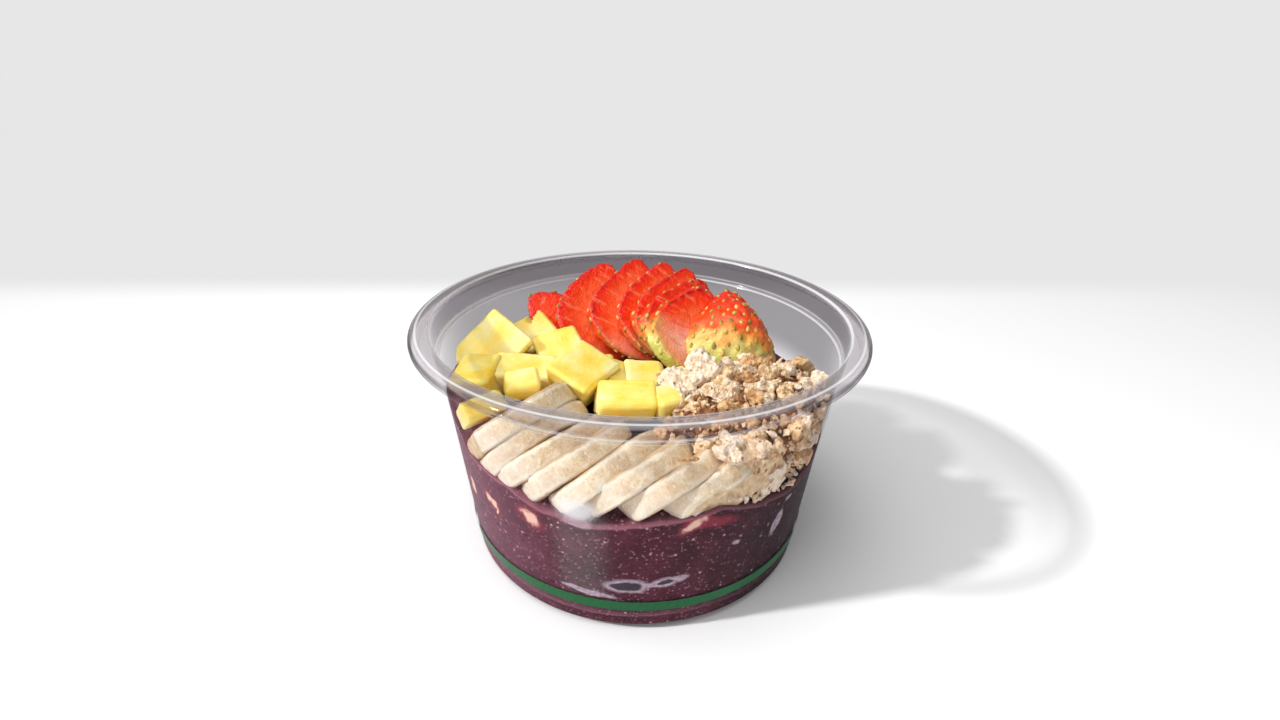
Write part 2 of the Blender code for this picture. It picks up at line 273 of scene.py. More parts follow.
def remeshed(node, voxel, smoothing):
    """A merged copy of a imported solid, with even faces of about the voxel's size and soft edges."""
    bm = bmesh.new()
    bm.from_mesh(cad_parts[node].data)
    bmesh.ops.remove_doubles(bm, verts=bm.verts, dist=0.00001)
    obj = new_object(node + "_fine", mesh_from(bm, node + "_fine"))
    even = obj.modifiers.new("even", "REMESH")
    even.mode = "VOXEL"
    even.voxel_size = voxel
    soft = obj.modifiers.new("soft", "SMOOTH")
    soft.iterations = smoothing
    fine = evaluated(obj, node + "_fine")
    bpy.data.objects.remove(obj)
    return fine


def points_of(mesh):
    places = np.zeros(len(mesh.vertices) * 3)
    mesh.vertices.foreach_get("co", places)
    return places.reshape(-1, 3)


def normals_of(mesh):
    directions = np.zeros(len(mesh.vertices) * 3)
    mesh.vertex_normals.foreach_get("vector", directions)
    return directions.reshape(-1, 3)


def move_points(mesh, places):
    mesh.vertices.foreach_set("co", places.ravel())
    mesh.update()


def keep_numbers(mesh, name, values):
    """Stores one number for each vertex under a name that a finish can read."""
    mesh.attributes.new(name, "FLOAT", "POINT").data.foreach_set("value", np.asarray(values, float))


def keep_places(mesh, name, places):
    mesh.attributes.new(name, "FLOAT_VECTOR", "POINT").data.foreach_set("vector", places.ravel())


def noise_at(places, scale, offset=0.0):
    """Soft noise from about -1 to 1 at each place."""
    shift = Vector((offset, offset * 1.7, offset * 2.3))
    return np.array([noise.noise(Vector(place) * scale + shift) for place in places])


def joined(name, meshes, material):
    """One object from many meshes, smooth shaded."""
    bm = bmesh.new()
    for mesh in meshes:
        bm.from_mesh(mesh)
    whole = mesh_from(bm, name)
    for mesh in meshes:
        bpy.data.meshes.remove(mesh)
    whole.shade_smooth()
    return new_object(name, whole, material)


def ring_faces(bm, rings):
    """Faces from each ring of vertices to the next. A ring of one vertex is a pole."""
    for low, high in zip(rings, rings[1:]):
        steps = max(len(low), len(high))
        for step in range(steps if steps > 1 else 0):
            after = (step + 1) % steps
            corners = (low[step % len(low)], low[after % len(low)],
                       high[after % len(high)], high[step % len(high)])
            bm.faces.new(list(dict.fromkeys(corners)))
    bmesh.ops.recalc_face_normals(bm, faces=bm.faces)


def turned(name, profile, steps, material):
    """A closed profile of (radius, height) points turned about the axis."""
    bm = bmesh.new()
    rings = []
    for radius, height in profile:
        on_axis = radius < 1e-7
        angles = [2 * math.pi * step / steps for step in range(1 if on_axis else steps)]
        ring = [(radius * math.cos(a), radius * math.sin(a), height) for a in angles]
        rings.append([bm.verts.new(place) for place in ring])
    ring_faces(bm, rings + rings[:1])
    mesh = mesh_from(bm, name)
    mesh.shade_smooth()
    return new_object(name, mesh, material)


# %% [markdown]
# ## Handing over
# The frame has one body, root. Every visible piece rides on it, and a piece that takes the place of
# imported solids names them, so that they are hidden.

# %% Handing over
def hand_over(piece, nodes=()):
    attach(piece, "root")
    if nodes:
        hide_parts(*nodes)
    print(piece.name, len(piece.data.polygons), "faces")


# %% [markdown]
# ## Floor and light
# The bowl stands on a white sweep that turns light grey further back. A small bright source low on
# the left throws the long shadow to the right, and a broad soft lamp overhead fills it in. The
# world itself stays dim, so the right side of the bowl, which faces away from them, stays dark. A
# weak lamp by the camera lifts the front of the fruit.

# %% Floor and light
SUN_FROM = Vector((-0.79, -0.213, 0.577))
HORIZON = 178 * MM, 226 * MM  # between these the white floor turns grey, behind the bowl
HORIZON_TURN = 0.0623  # it looks level from the camera, so it is turned to suit the camera's roll
BACKDROP = (231, 231, 231)
SWEEP_REACH = 60 * RIM
SKY_STRENGTH = 0.16


def make_floor():
    mesh = bpy.data.meshes.new("floor")
    corners = [(x * SWEEP_REACH, y * SWEEP_REACH, 0) for x, y in ((-1, -1), (1, -1), (1, 1), (-1, 1))]
    mesh.from_pydata(corners, [], [(0, 1, 2, 3)])
    sweep = Finish("white_sweep")
    across, along = sweep.axes(sweep.place())[:2]
    far = sweep.step(along - across * HORIZON_TURN, *HORIZON)
    white = sweep.surface((252, 252, 252), 0.9, Specular_IOR_Level=0.0)
    grey = sweep.add("ShaderNodeEmission", {"Color": BACKDROP, "Strength": 1.0})
    floor = new_object("floor", mesh, sweep.done(sweep.mixed(far, white, grey)))


def hang(data, place, turn):
    light = bpy.data.objects.new(data.name, data)
    light.location = place
    light.rotation_euler = turn.to_euler()
    bpy.context.scene.collection.objects.link(light)


def soft_lamp(name, place, aim, size, watts):
    """A broad lamp. Its place, aim and size are in rim radii."""
    data = bpy.data.lights.new(name, "AREA")
    data.shape = "RECTANGLE"
    data.size, data.size_y = [side * RIM for side in size]
    data.energy = watts
    toward = (Vector(aim) - Vector(place)) * RIM
    hang(data, Vector(place) * RIM, toward.to_track_quat("-Z", "Y"))


def make_sun(toward, strength, degrees_wide):
    data = bpy.data.lights.new("sun", "SUN")
    data.energy = strength
    data.angle = math.radians(degrees_wide)
    hang(data, (0, 0, 0), toward.to_track_quat("Z", "Y"))


def make_world():
    """Dim and white as a light, but the camera sees the backdrop's grey."""
    world = bpy.data.worlds.new("studio")
    world.use_nodes = True
    nodes, links = world.node_tree.nodes, world.node_tree.links
    sky = nodes["Background"]
    sky.inputs["Color"].default_value = (1, 1, 1, 1)
    sky.inputs["Strength"].default_value = SKY_STRENGTH
    seen = nodes.new("ShaderNodeBackground")
    seen.inputs["Color"].default_value = (*paint(*BACKDROP), 1)
    chooser = nodes.new("ShaderNodeMixShader")
    path = nodes.new("ShaderNodeLightPath")
    links.new(path.outputs["Is Camera Ray"], chooser.inputs[0])
    links.new(sky.outputs[0], chooser.inputs[1])
    links.new(seen.outputs[0], chooser.inputs[2])
    links.new(chooser.outputs[0], nodes["World Output"].inputs["Surface"])
    bpy.context.scene.world = world


make_floor()
make_world()
make_sun(SUN_FROM, strength=2.6, degrees_wide=3.5)
soft_lamp("overhead", place=(-2, -1, 10), aim=(0, 0, 0), size=(9, 8), watts=2.15)
soft_lamp("front", place=(0.9, -7, 3.6), aim=(0, 0, 0.5), size=(4, 3), watts=0.46)
bpy.context.scene.view_settings.view_transform = "Standard"

# %% [markdown]
# ## The bowl
# A takeaway bowl is one thin sheet of clear plastic, formed over a mould: flat base, tapered wall, a
# small ledge inside the mouth and a rolled rim. A closed profile turned about the axis gives exactly
# that. The profile runs along the inner face, and the outer face is the same line set off by the
# thickness of the sheet.

# %% Bowl shape
SHEET = 0.45 * MM
BOWL_STEPS = 192
BASE_INSIDE = 0.6  # mm, the inner face of the base
WALL = ((45.4, BASE_INSIDE), (46.6, 1.0), (47.4, 2.2), (51.7, 50.0), (52.1, 57.6))  # radius, height
BASE_CORNER = ((45.2, 2.8), (2.2, -2.2), range(0, 91, 15))  # middle, half sizes and degrees of turn
RIM_CURL = ((57.2, 63.3), (1.8, 1.65), range(15, 181, 15))


def wall_radius(height):
    """The bowl's inner radius at a height."""
    heights = [z * MM for _, z in WALL]
    return float(np.interp(height, heights, [radius * MM for radius, _ in WALL]))


def arc(middle, half_size, degrees):
    """Points on a quarter or half oval of the profile, from its bottom or top outwards."""
    turns = [math.radians(value) for value in degrees]
    return [(middle[0] + half_size[0] * math.sin(turn), middle[1] + half_size[1] * math.cos(turn))
            for turn in turns]


def bowl_profile():
    """The inner face from the base to the lip, then back along the outer face."""
    base = [(0, BASE_INSIDE), (30, BASE_INSIDE), (44.8, BASE_INSIDE)]
    wall = [(49.5, 25.5), (51.7, 50.0), (52.05, 56.9)]
    ledge = [(52.25, 57.5), (52.8, 57.9), (52.95, 58.3), (53.1, 58.9)]
    mouth = [(53.7, 63.6), (53.85, 64.3), (54.2, 64.85), (54.8, 65.1), (56.4, 65.1), (57.2, 64.95)]
    inner = base + arc(*BASE_CORNER) + wall + ledge + mouth + arc(*RIM_CURL) + [(56.3, 61.6)]
    points = np.array(inner)
    ahead = np.vstack((points[1:], points[-1:])) - np.vstack((points[:1], points[:-1]))
    ahead /= np.linalg.norm(ahead, axis=1)[:, None]
    outward = np.stack((ahead[:, 1], -ahead[:, 0]), 1)
    outer = points + outward * SHEET / MM
    outer[0, 0] = 0
    whole = np.vstack((points, outer[::-1])) * MM
    return [tuple(point) for point in whole]


# %% [markdown]
# ### Clear plastic
# The sheet is so thin that light goes nearly straight through, so the finish mixes a clear shader
# with a glossy one, the gloss growing where the wall is seen at a slant. Greyer clear sheets tint
# the light that goes through, and on the empty wall at the back, in the recess under the lip, on
# the rolled rim's sides and along its outer edge at the front they are painted shade. Thin bright
# lines where the sheet bends sharply are painted highlights, and so are a faint vertical band and a
# soft spot on the front left. The green stripe is printed on the outside at one height.

# %% Bowl finish
OVER_FOOD = 36 * MM, 48 * MM  # each pair is a soft edge: where it starts and where it is complete
RECESS_START = 58.6 * MM, 59.3 * MM
RECESS_END = 63.4 * MM, 63.9 * MM
RIM_TOP = 64.3 * MM, 64.9 * MM
INNER_WALL = 55.6 * MM, 56.4 * MM
ROLL = 58.0 * MM, 58.7 * MM
OUTER_LINE = 58.5 * MM, 58.9 * MM
# painted highlights on the front left: a faint vertical band and a soft spot
HIGHLIGHT_BAND_TURN = -0.25  # radians round from the front
HIGHLIGHT_SPOT_TURN, HIGHLIGHT_SPOT_HEIGHT = -0.26, 38.3 * MM
HIGHLIGHT_SPOT_WIDTH, HIGHLIGHT_SPOT_RISE = 0.1, 3.4 * MM
STRIPE_MIDDLE = 8.9 * MM
STRIPE_HEIGHT = 3.1 * MM
STRAIGHT_ON_GLOSS, SLANTED_GLOSS = 0.009, 0.08


def smoky_sheet(clear, across, along, up, radius, top):
    """Clear sheets of several greys that let light straight through, tinted and partly painted shade.
    """
    behind = clear.step(along + across * 0.1, -0.7 * RIM, 0.25 * RIM)
    inner = 1 - clear.step(radius, *INNER_WALL)
    above_food = clear.step(up, *OVER_FOOD) * (1 - top) * inner
    recess = clear.step(up, *RECESS_START) * (1 - clear.step(up, *RECESS_END)) * inner
    aside = clear.step(abs(across), 0.35 * RIM, 0.9 * RIM)
    outermost = clear.step(radius, *OUTER_LINE) * clear.step(along, -0.8 * RIM, -0.3 * RIM)
    sheet = clear.add("ShaderNodeBsdfTransparent", {"Color": (251, 250, 251)})
    # painted shade: the greys at the back above the food, in the recess, on the roll's sides and on the
    # outer edge at the front
    for mask, grey in (
        (above_food * behind, (202, 200, 202)),
        (recess * (behind * 0.95 + 0.05), (186, 183, 186)),
        (clear.step(radius, *ROLL) * aside * 0.85, (164, 160, 163)),
        (outermost * 0.6, (130, 130, 136)),
        (top, (216, 212, 215)),
    ):
        sheet = clear.mixed(mask, sheet, clear.add("ShaderNodeBsdfTransparent", {"Color": grey}))
    return sheet


def line(clear, value, middle, width):
    """1 on a thin line where the value passes its middle, soft at both sides."""
    return 1 - clear.step(abs(value - middle * MM), 0.35 * width * MM, width * MM)


# painted highlights: thin bright lines where the sheet bends sharply
def bright_lines(clear, up, radius, top):
    lines = line(clear, radius, 54.2, 0.4) * clear.step(up, 63.9 * MM, 64.4 * MM)
    lines = lines + line(clear, radius, 57.2, 0.42) * top
    lines = lines + line(clear, up, 62.2, 0.34) * clear.step(radius, *ROLL)
    return lines + line(clear, up, 57.6, 0.3) * 0.8 + line(clear, up, 58.7, 0.25) * 0.6


def worn_spots(clear, across, along, up):
    """A painted highlight band and a painted highlight spot on the front left, 1 in their middles."""
    turn = clear.add("ShaderNodeMath", {0: across, 1: along * -1}, operation="ARCTAN2")
    highlight_band = 1 - clear.step(abs(turn - HIGHLIGHT_BAND_TURN), 0.04, 0.18)
    highlight_band = highlight_band * clear.step(up, 9 * MM, 14 * MM) * (1 - clear.step(up, 33 * MM, 40 * MM))
    highlight_spot = ((turn - HIGHLIGHT_SPOT_TURN) / HIGHLIGHT_SPOT_WIDTH) ** 2 + ((up - HIGHLIGHT_SPOT_HEIGHT) / HIGHLIGHT_SPOT_RISE) ** 2
    highlight_spot = 1 - clear.step(highlight_spot, 0.0, 1.7)
    return highlight_band, highlight_spot * highlight_spot


def print_coat(clear, place):
    """Flat green print, a little uneven."""
    worn = clear.noise(place, 2200, detail=2)
    green = clear.layers((16, 82, 44), (clear.step(worn, 0.3, 0.8), (28, 102, 58)))
    return clear.surface(green, 0.35, Specular_IOR_Level=0.12)


def clear_plastic():
    clear = Finish("clear_plastic")
    place = clear.place()
    across, along, up = clear.axes(place)
    flat = clear.stretch(place, (1, 1, 0))
    radius = clear.add("ShaderNodeVectorMath", {0: flat}, output=1, operation="LENGTH")
    top = clear.step(up, *RIM_TOP)
    see_through = smoky_sheet(clear, across, along, up, radius, top)
    normal = clear.bump(clear.noise(clear.stretch(place, (1.0, 1.0, 0.35)), 60, detail=1), 0.0004)
    gloss = clear.add("ShaderNodeBsdfGlossy", {"Color": (255, 255, 255), "Roughness": 0.06,
                      "Normal": normal})
    slant = clear.add("ShaderNodeLayerWeight", {"Blend": 0.5, "Normal": normal}, output="Facing")
    rim = clear.step(up, 56 * MM, 58 * MM, 0.5, 1.0)
    shiny = STRAIGHT_ON_GLOSS + SLANTED_GLOSS * slant ** 5
    sheet = clear.mixed(shiny * rim, see_through, gloss)
    highlight_band, highlight_spot = worn_spots(clear, across, along, up)
    # painted highlight: the faint vertical band, in the rim top's milky coat
    sheet = clear.mixed(top * 0.22 + highlight_band * 0.075, sheet, clear.surface((216, 211, 210), 0.3))
    lines = bright_lines(clear, up, radius, top)
    # painted highlights: the bright lines and the soft spot, in a near-white coat
    sheet = clear.mixed(lines * 0.48 + highlight_spot * 0.42, sheet, clear.surface((252, 252, 255), 0.15))
    stripe = 1 - clear.step(abs(up - STRIPE_MIDDLE), STRIPE_HEIGHT * 0.46, STRIPE_HEIGHT * 0.54)
    return clear.done(clear.mixed(stripe, sheet, print_coat(clear, place)))


bowl = turned("bowl_clear", bowl_profile(), BOWL_STEPS, clear_plastic())
hand_over(bowl, ["bowl"])

# %% [markdown]
# ## The acai
# Thick blended acai fills the bowl and presses against the wall, so its side follows the wall and
# reaches just into it, which leaves no air gap to be seen. Its upper edge rises and falls round
# the bowl. It is built like the bowl, from rings of points, each ring a little higher on the wall
# and then a little nearer the middle of the uneven top.

# %% Acai shape
ACAI_CENTRE = 39.5 * MM
ACAI_AT_WALL = (  # degrees round from the front, and the level there in mm
    (-180, 43), (-130, 44), (-95, 47), (-66, 49), (-57, 44), (-53, 39.5), (-38, 38.3), (-24, 34.8),
    (-10, 33.4), (6, 35.6), (22, 37.6), (34, 34.4), (48, 32.8), (60, 34.5), (68, 38), (100, 40),
    (140, 41), (180, 43),
)
ACAI_EDGE_RADIUS = wall_radius(50 * MM)
INTO_WALL = 0.12 * MM
ACAI_BOTTOM = BASE_INSIDE * MM - INTO_WALL


def level_at_wall(degrees):
    for (one, low), (two, high) in zip(ACAI_AT_WALL, ACAI_AT_WALL[1:]):
        if one <= degrees <= two:
            share = (degrees - one) / (two - one)
            return (low + (high - low) * share * share * (3 - 2 * share)) * MM
    return ACAI_AT_WALL[0][1] * MM


def acai_level(x, y):
    """Level in the middle, and rising or falling to the wall, with soft lumps all over."""
    share = min(1.0, math.hypot(x, y) / ACAI_EDGE_RADIUS)
    blend = share ** 3
    back = 3 * MM * max(0, y / (52 * MM)) * (1 - blend)
    lumps = noise.noise(Vector((x, y, 0)) * 70) * (1 - share) * 0.8
    lumps += noise.noise(Vector((x, y, 0.3)) * 260) * 0.35
    edge = noise.noise(Vector((x, y, 0.7)) * 420) * 0.3 * share
    level = ACAI_CENTRE * (1 - blend) + level_at_wall(math.degrees(math.atan2(x, -y))) * blend
    return level + back + (lumps + edge) * MM


def acai_column(toward, side_rows, top_rows):
    """Places up the wall in one direction, then over the top towards the middle."""
    reach = wall_radius(40 * MM)
    edge = acai_level(toward.x * reach, toward.y * reach)
    for row in range(side_rows):
        share = row / (side_rows - 1)
        height = ACAI_BOTTOM * (1 - share) + edge * share
        point = toward * (wall_radius(height) + INTO_WALL)
        yield point.x, point.y, height
    for row in range(top_rows):
        share = 1 - ((row + 1) / (top_rows + 1)) ** 1.15
        point = toward * (wall_radius(edge) + INTO_WALL) * share
        yield point.x, point.y, acai_level(point.x, point.y)


def make_acai(material, steps=240, side_rows=40, top_rows=70):
    bm = bmesh.new()
    columns = []
    for step in range(steps):
        angle = 2 * math.pi * step / steps
        toward = Vector((math.sin(angle), -math.cos(angle), 0))
        columns.append([bm.verts.new(place) for place in acai_column(toward, side_rows, top_rows)])
    bottom = bm.verts.new((0, 0, ACAI_BOTTOM))
    top = bm.verts.new((0, 0, acai_level(0, 0)))
    ring_faces(bm, [[bottom], *zip(*columns), [top]])
    mesh = mesh_from(bm, "acai_fill")
    mesh.shade_smooth()
    keep_places(mesh, "unrolled", unrolled_wall(points_of(mesh)))
    return new_object("acai_fill", mesh, material)


# %% [markdown]
# ### Where the marks on the wall are
# The marks where the acai was spooned against the wall are seen through the plastic. They are laid
# out on the wall unrolled flat, and each point of the acai's side remembers its place there. A mark
# is an oval: its middle, as mm round the wall from the front and mm up, its half sizes in mm, and
# its turn in degrees.

# %% Marks on the wall
UNROLL_RADIUS = 49.5
NEAR_WALL = 0.05
ON_TOP = 0.8091 * RIM  # points nearer the axis than this are on the top
FAR_FROM_MARKS = 500

AIR_POCKETS = (((-2.0, 15.6), (4.4, 1.5), 2), ((7.0, 16.9), (2.2, 0.8), 12))
POCKET_RING = 1.3, 0.9  # the pale ring round a dark pocket, in mm past its edge
PALE_SMEARS = (
    ((-11.5, 12.3), (7.0, 1.0), -8), ((9.6, 17.4), (3.4, 1.1), 8), ((2.8, 16.0), (4.5, 1.0), 4),
    ((37.5, 24.5), (1.7, 3.9), -24), ((24.0, 25.4), (1.0, 0.8), -20), ((40.5, 31.0), (1.2, 0.8), 0),
    ((-13.0, 34.0), (3.4, 1.2), -6),
)
FRUIT_BITS = (
    ((-48.6, 27.4), (1.7, 3.3), 14), ((-38.0, 29.0), (3.2, 1.7), -34), ((-24.8, 31.2), (3.3, 2.6), -30),
    ((-36.5, 26.9), (1.4, 1.1), 0), ((12.6, 34.4), (4.2, 1.4), 34),
)
RED_FILM = (((16.5, 34.2), (8.0, 2.0), -8),)


def unrolled_wall(places):
    """Each point's place on the flat wall, in mm: round from the front, up, and below the edge."""
    turns = np.arctan2(places[:, 0], -places[:, 1])
    levels = np.array([acai_level(math.sin(turn) * NEAR_WALL, -math.cos(turn) * NEAR_WALL)
                       for turn in turns])
    unrolled = np.stack((turns * UNROLL_RADIUS, places[:, 2] / MM, (levels - places[:, 2]) / MM), 1)
    unrolled[np.hypot(places[:, 0], places[:, 1]) < ON_TOP] = FAR_FROM_MARKS
    return unrolled


def from_oval(along, up, middle, size, turn):
    """How far a point is from the middle of an oval: 1 at its edge."""
    lean = math.radians(turn)
    aside = along - middle[0]
    above = up - middle[1]
    one = (aside * math.cos(lean) + above * math.sin(lean)) / size[0]
    two = (above * math.cos(lean) - aside * math.sin(lean)) / size[1]
    return (one ** 2 + two ** 2) ** 0.5


def nearest(finish, along, up, ovals):
    """How far a point is from the nearest of several ovals."""
    least, *others = [from_oval(along, up, *oval) for oval in ovals]
    for other in others:
        least = finish.add("ShaderNodeMath", {0: least, 1: other}, operation="MINIMUM")
    return least


# %% [markdown]
# ### Acai finish
# The finish is a dusty plum, cloudy and grainy, with dark bits of berry skin and pale seed specks.
# It is painted paler on the left, where the light falls, and painted darker on the right, which is
# in shade. The wall comes last: a paler foot that is a painted reflection of the floor, the marks of
# a red film and bits of fruit, pale smears, pockets of air, and a thin painted highlight where the
# acai's edge meets the plastic.

# %% Acai finish
def acai_body(acai, place, across, shade, grain):
    cloud = acai.noise(place, 120, detail=6, roughness=0.65)
    return acai.layers(
        acai.ramp(cloud, (0.32, 54, 16, 30), (0.5, 72, 24, 40), (0.7, 94, 40, 58)),
        # painted light on the left, where the light falls, and painted shade on the right
        (acai.step(across, -0.1 * RIM, -0.8 * RIM) * 0.4, (150, 96, 116)),
        (shade * 0.85, (26, 8, 15)),
        (acai.step(grain, 0.56, 0.8) * (0.45 - 0.35 * shade), (168, 126, 138)),
        (acai.step(grain, 0.46, 0.24) * 0.5, (52, 24, 34)),
    )


def acai_specks(acai, colour, place, shade):
    skins = acai.specks(place, 420, (0.14, 0.32), 210, (0.48, 0.58), detail=2, squash=1.2)
    fine = acai.specks(place, 1000, (0.16, 0.36), 620, (0.4, 0.54))
    coarse = acai.specks(place, 430, (0.1, 0.2), 210, (0.47, 0.54))
    return acai.layers(
        colour,
        (skins * 0.75, (42, 24, 36)),
        (fine * (0.64 - 0.3 * shade), (172, 120, 136)),
        (coarse * (0.66 - 0.2 * shade), (218, 176, 182)),
    )


def wall_marks(acai, colour, place, shade):
    along, up, below = acai.axes(acai.place("unrolled"))
    along = along + (acai.noise(place, 260, detail=3) - 0.5) * 2.4
    up = up + (acai.noise(place, 310, detail=3) - 0.5) * 1.6
    torn = (acai.noise(place, 480, detail=3) - 0.5) * 5
    streaky = acai.step(acai.noise(place, 900, detail=3), 0.25, 0.7, 0.45, 1.0)
    film = nearest(acai, along, up, RED_FILM)
    bits = nearest(acai, along + torn, up + torn * 0.6, FRUIT_BITS)
    rings = tuple((middle, (wide + POCKET_RING[0], high + POCKET_RING[1]), turn)
                  for middle, (wide, high), turn in AIR_POCKETS)
    smears = nearest(acai, along, up, PALE_SMEARS + rings)
    pockets = nearest(acai, along, up, AIR_POCKETS)
    return acai.layers(
        colour,
        # painted reflection of the floor: a paler foot, weaker in the painted shade
        ((1 - acai.step(up, 3.0, 7.5)) * (0.55 - 0.45 * shade), (172, 124, 142)),
        ((1 - acai.step(film, 0.5, 1.1)) * 0.6, (158, 52, 72)),
        ((1 - acai.step(bits, 0.7, 1.5)) * 0.7, (158, 66, 78)),
        (1 - acai.step(bits, 0.45, 0.95), (232, 190, 172)),
        ((1 - acai.step(smears, 0.7, 1.15)) * streaky, (190, 170, 184)),
        (1 - acai.step(pockets, 0.75, 1.05), (60, 52, 64)),
        # painted highlight along the acai's upper edge at the wall
        ((1 - acai.step(abs(below - 0.35), 0.15, 0.75)) * (0.55 - 0.25 * shade), (178, 120, 132)),
    )


def acai_finish():
    acai = Finish("acai_blend")
    place = acai.place()
    across, along = acai.axes(place)[:2]
    # painted shade: 1 on the right side, which faces away from the light
    shade = acai.step(across + along * 0.3, -0.25 * RIM, 0.5 * RIM)
    grain = acai.noise(place, 2600, detail=2, roughness=0.7)
    colour = acai_body(acai, place, across, shade, grain)
    colour = wall_marks(acai, acai_specks(acai, colour, place, shade), place, shade)
    rough = acai.step(grain, 0.3, 0.7, 0.36, 0.55)
    return acai.done(acai.surface(colour, rough, acai.bump(grain, 0.00025), Specular_IOR_Level=0.08))


acai = make_acai(acai_finish())
hand_over(acai, ["acai"])

# %% [markdown]
# ## Toppings
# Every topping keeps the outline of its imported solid, so it lies where it should and stays clear of
# its neighbours. What makes it food is added in three steps: the sides are drawn back onto a true
# round, the surface is carved with noise, and each point remembers where it sits in its own slice,
# so that the finish can colour the flesh from the skin inwards.

# %% Where a slice lies
def local(places, frame_matrix):
    """Places seen from a slice's own frame, in mm."""
    back = np.array(frame_matrix.inverted())
    return (places @ back[:3, :3].T + back[:3, 3]) / MM


def outward(local_directions, frame_matrix):
    """Directions in a slice's frame turned back into the model's."""
    return local_directions @ np.array(frame_matrix)[:3, :3].T


def turned_by(*turns):
    """Rotations in degrees about the axes they name, the last made first."""
    whole = Matrix.Identity(3)
    for degrees, axis in turns:
        whole = whole @ Matrix.Rotation(math.radians(degrees), 3, axis)
    return whole


def placed_at(centre, turn):
    return Matrix.Translation(Vector(centre) * MM) @ turn.to_4x4()


def nodes_of(kind):
    names = [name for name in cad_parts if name.startswith(kind + "_")]
    return sorted(names, key=lambda name: int(name.split("_")[1]))


def make_kind(name, kind, shape, finish):
    """One piece from all the solids of a kind, each given its own finer shape."""
    nodes = nodes_of(kind)
    piece = joined(name, [shape(node, index) for index, node in enumerate(nodes)], finish)
    hand_over(piece, nodes)
    return piece


# %% [markdown]
# ### Banana
# Nine slices lie like fallen dominoes along the front wall. We see the peeled side of each, pale and
# smooth with faint fibres, and a strip of its cut face, which is duller and mottled.

# %% Banana
BANANA_VOXEL = 0.54 * MM
BANANA_HALF_LENGTH = 15.0
BANANA_HALF_WIDTH = 14.0
BANANA_CUT_FACE = 2.35  # mm from a slice's middle
BANANA_FULLER = 1.2  # soft slices press against each other, so each is thicker than its solid
BANANA_NORMAL = Vector((-0.55, 0.45, 0.70)).normalized()
BANANA_ALONG = Vector((0.61, 0.78, 0.12))
BANANA_CENTRES = (
    (-28.6, -24.0, 44.0), (-25.6, -25.6, 40.0), (-20.6, -28.8, 38.6), (-14.4, -31.7, 38.0),
    (-7.6, -34.5, 37.8), (0.2, -36.3, 37.8), (8.2, -37.1, 37.6), (16.2, -36.0, 36.8),
    (20.6, -36.2, 33.4),
)
BANANA_TONE = (0.75, 0.8, 0.6, 0.35, 0.1, 0.3, 0.15, 0.0, 0.1)  # how tan each slice's side is


def banana_frame(index):
    along = (BANANA_ALONG - BANANA_NORMAL * BANANA_ALONG.dot(BANANA_NORMAL)).normalized()
    across = BANANA_NORMAL.cross(along)
    return placed_at(BANANA_CENTRES[index], Matrix((along, across, BANANA_NORMAL)).transposed())


def banana_slice(node, index):
    mesh = remeshed(node, BANANA_VOXEL, 1)
    places = points_of(mesh)
    turn = banana_frame(index)
    spot = local(places, turn)
    oval = np.hypot(spot[:, 0] / BANANA_HALF_LENGTH, spot[:, 1] / BANANA_HALF_WIDTH)
    side = np.clip((oval - 0.9) / 0.06, 0, 1)
    # a rounded, slightly three-sided edge in place of the flat facets
    angle = np.arctan2(spot[:, 1], spot[:, 0])
    shape = 1 + 0.012 * np.cos(3 * angle + index) - 0.02 * (spot[:, 2] / 2.4) ** 2
    pull = (shape / np.maximum(oval, 0.5) - 1) * side
    pull[oval < 0.97] *= 0.4
    moved = spot * np.stack((1 + pull, 1 + pull, np.full_like(pull, BANANA_FULLER)), 1)
    bend = 0.35 * np.sin(spot[:, 0] / 5.5 + index * 1.9) + 0.3 * np.cos(spot[:, 1] / 6.0 + index * 2.6)
    moved[:, 2] += bend
    round_side = np.stack((np.cos(angle) * 9, np.sin(angle) * 9, spot[:, 2] * 0.10), 1)
    fibres = noise_at(round_side, 1.0, index)
    waves = noise_at(spot, 0.16, index * 3.1)
    crater = noise_at(spot, 0.45, index * 5.3)
    fine = noise_at(spot, 0.95, index * 7.7)
    lift = side * (0.05 * fibres + 0.42 * waves + 0.16 * fine) + (1 - side) * 0.16 * crater
    heading = np.stack((np.cos(angle) * side, np.sin(angle) * side,
                        np.sign(spot[:, 2]) * (1 - side)), 1)
    places = places + outward((moved - spot + heading * lift[:, None]) * MM, turn)
    move_points(mesh, places)
    keep_places(mesh, "slice", spot + (0, 0, 20 * index))  # so that no two slices look alike
    keep_numbers(mesh, "side", side)
    keep_numbers(mesh, "thick", np.abs(spot[:, 2]) / BANANA_CUT_FACE)
    keep_numbers(mesh, "tone", np.full(len(spot), BANANA_TONE[index]))
    return mesh


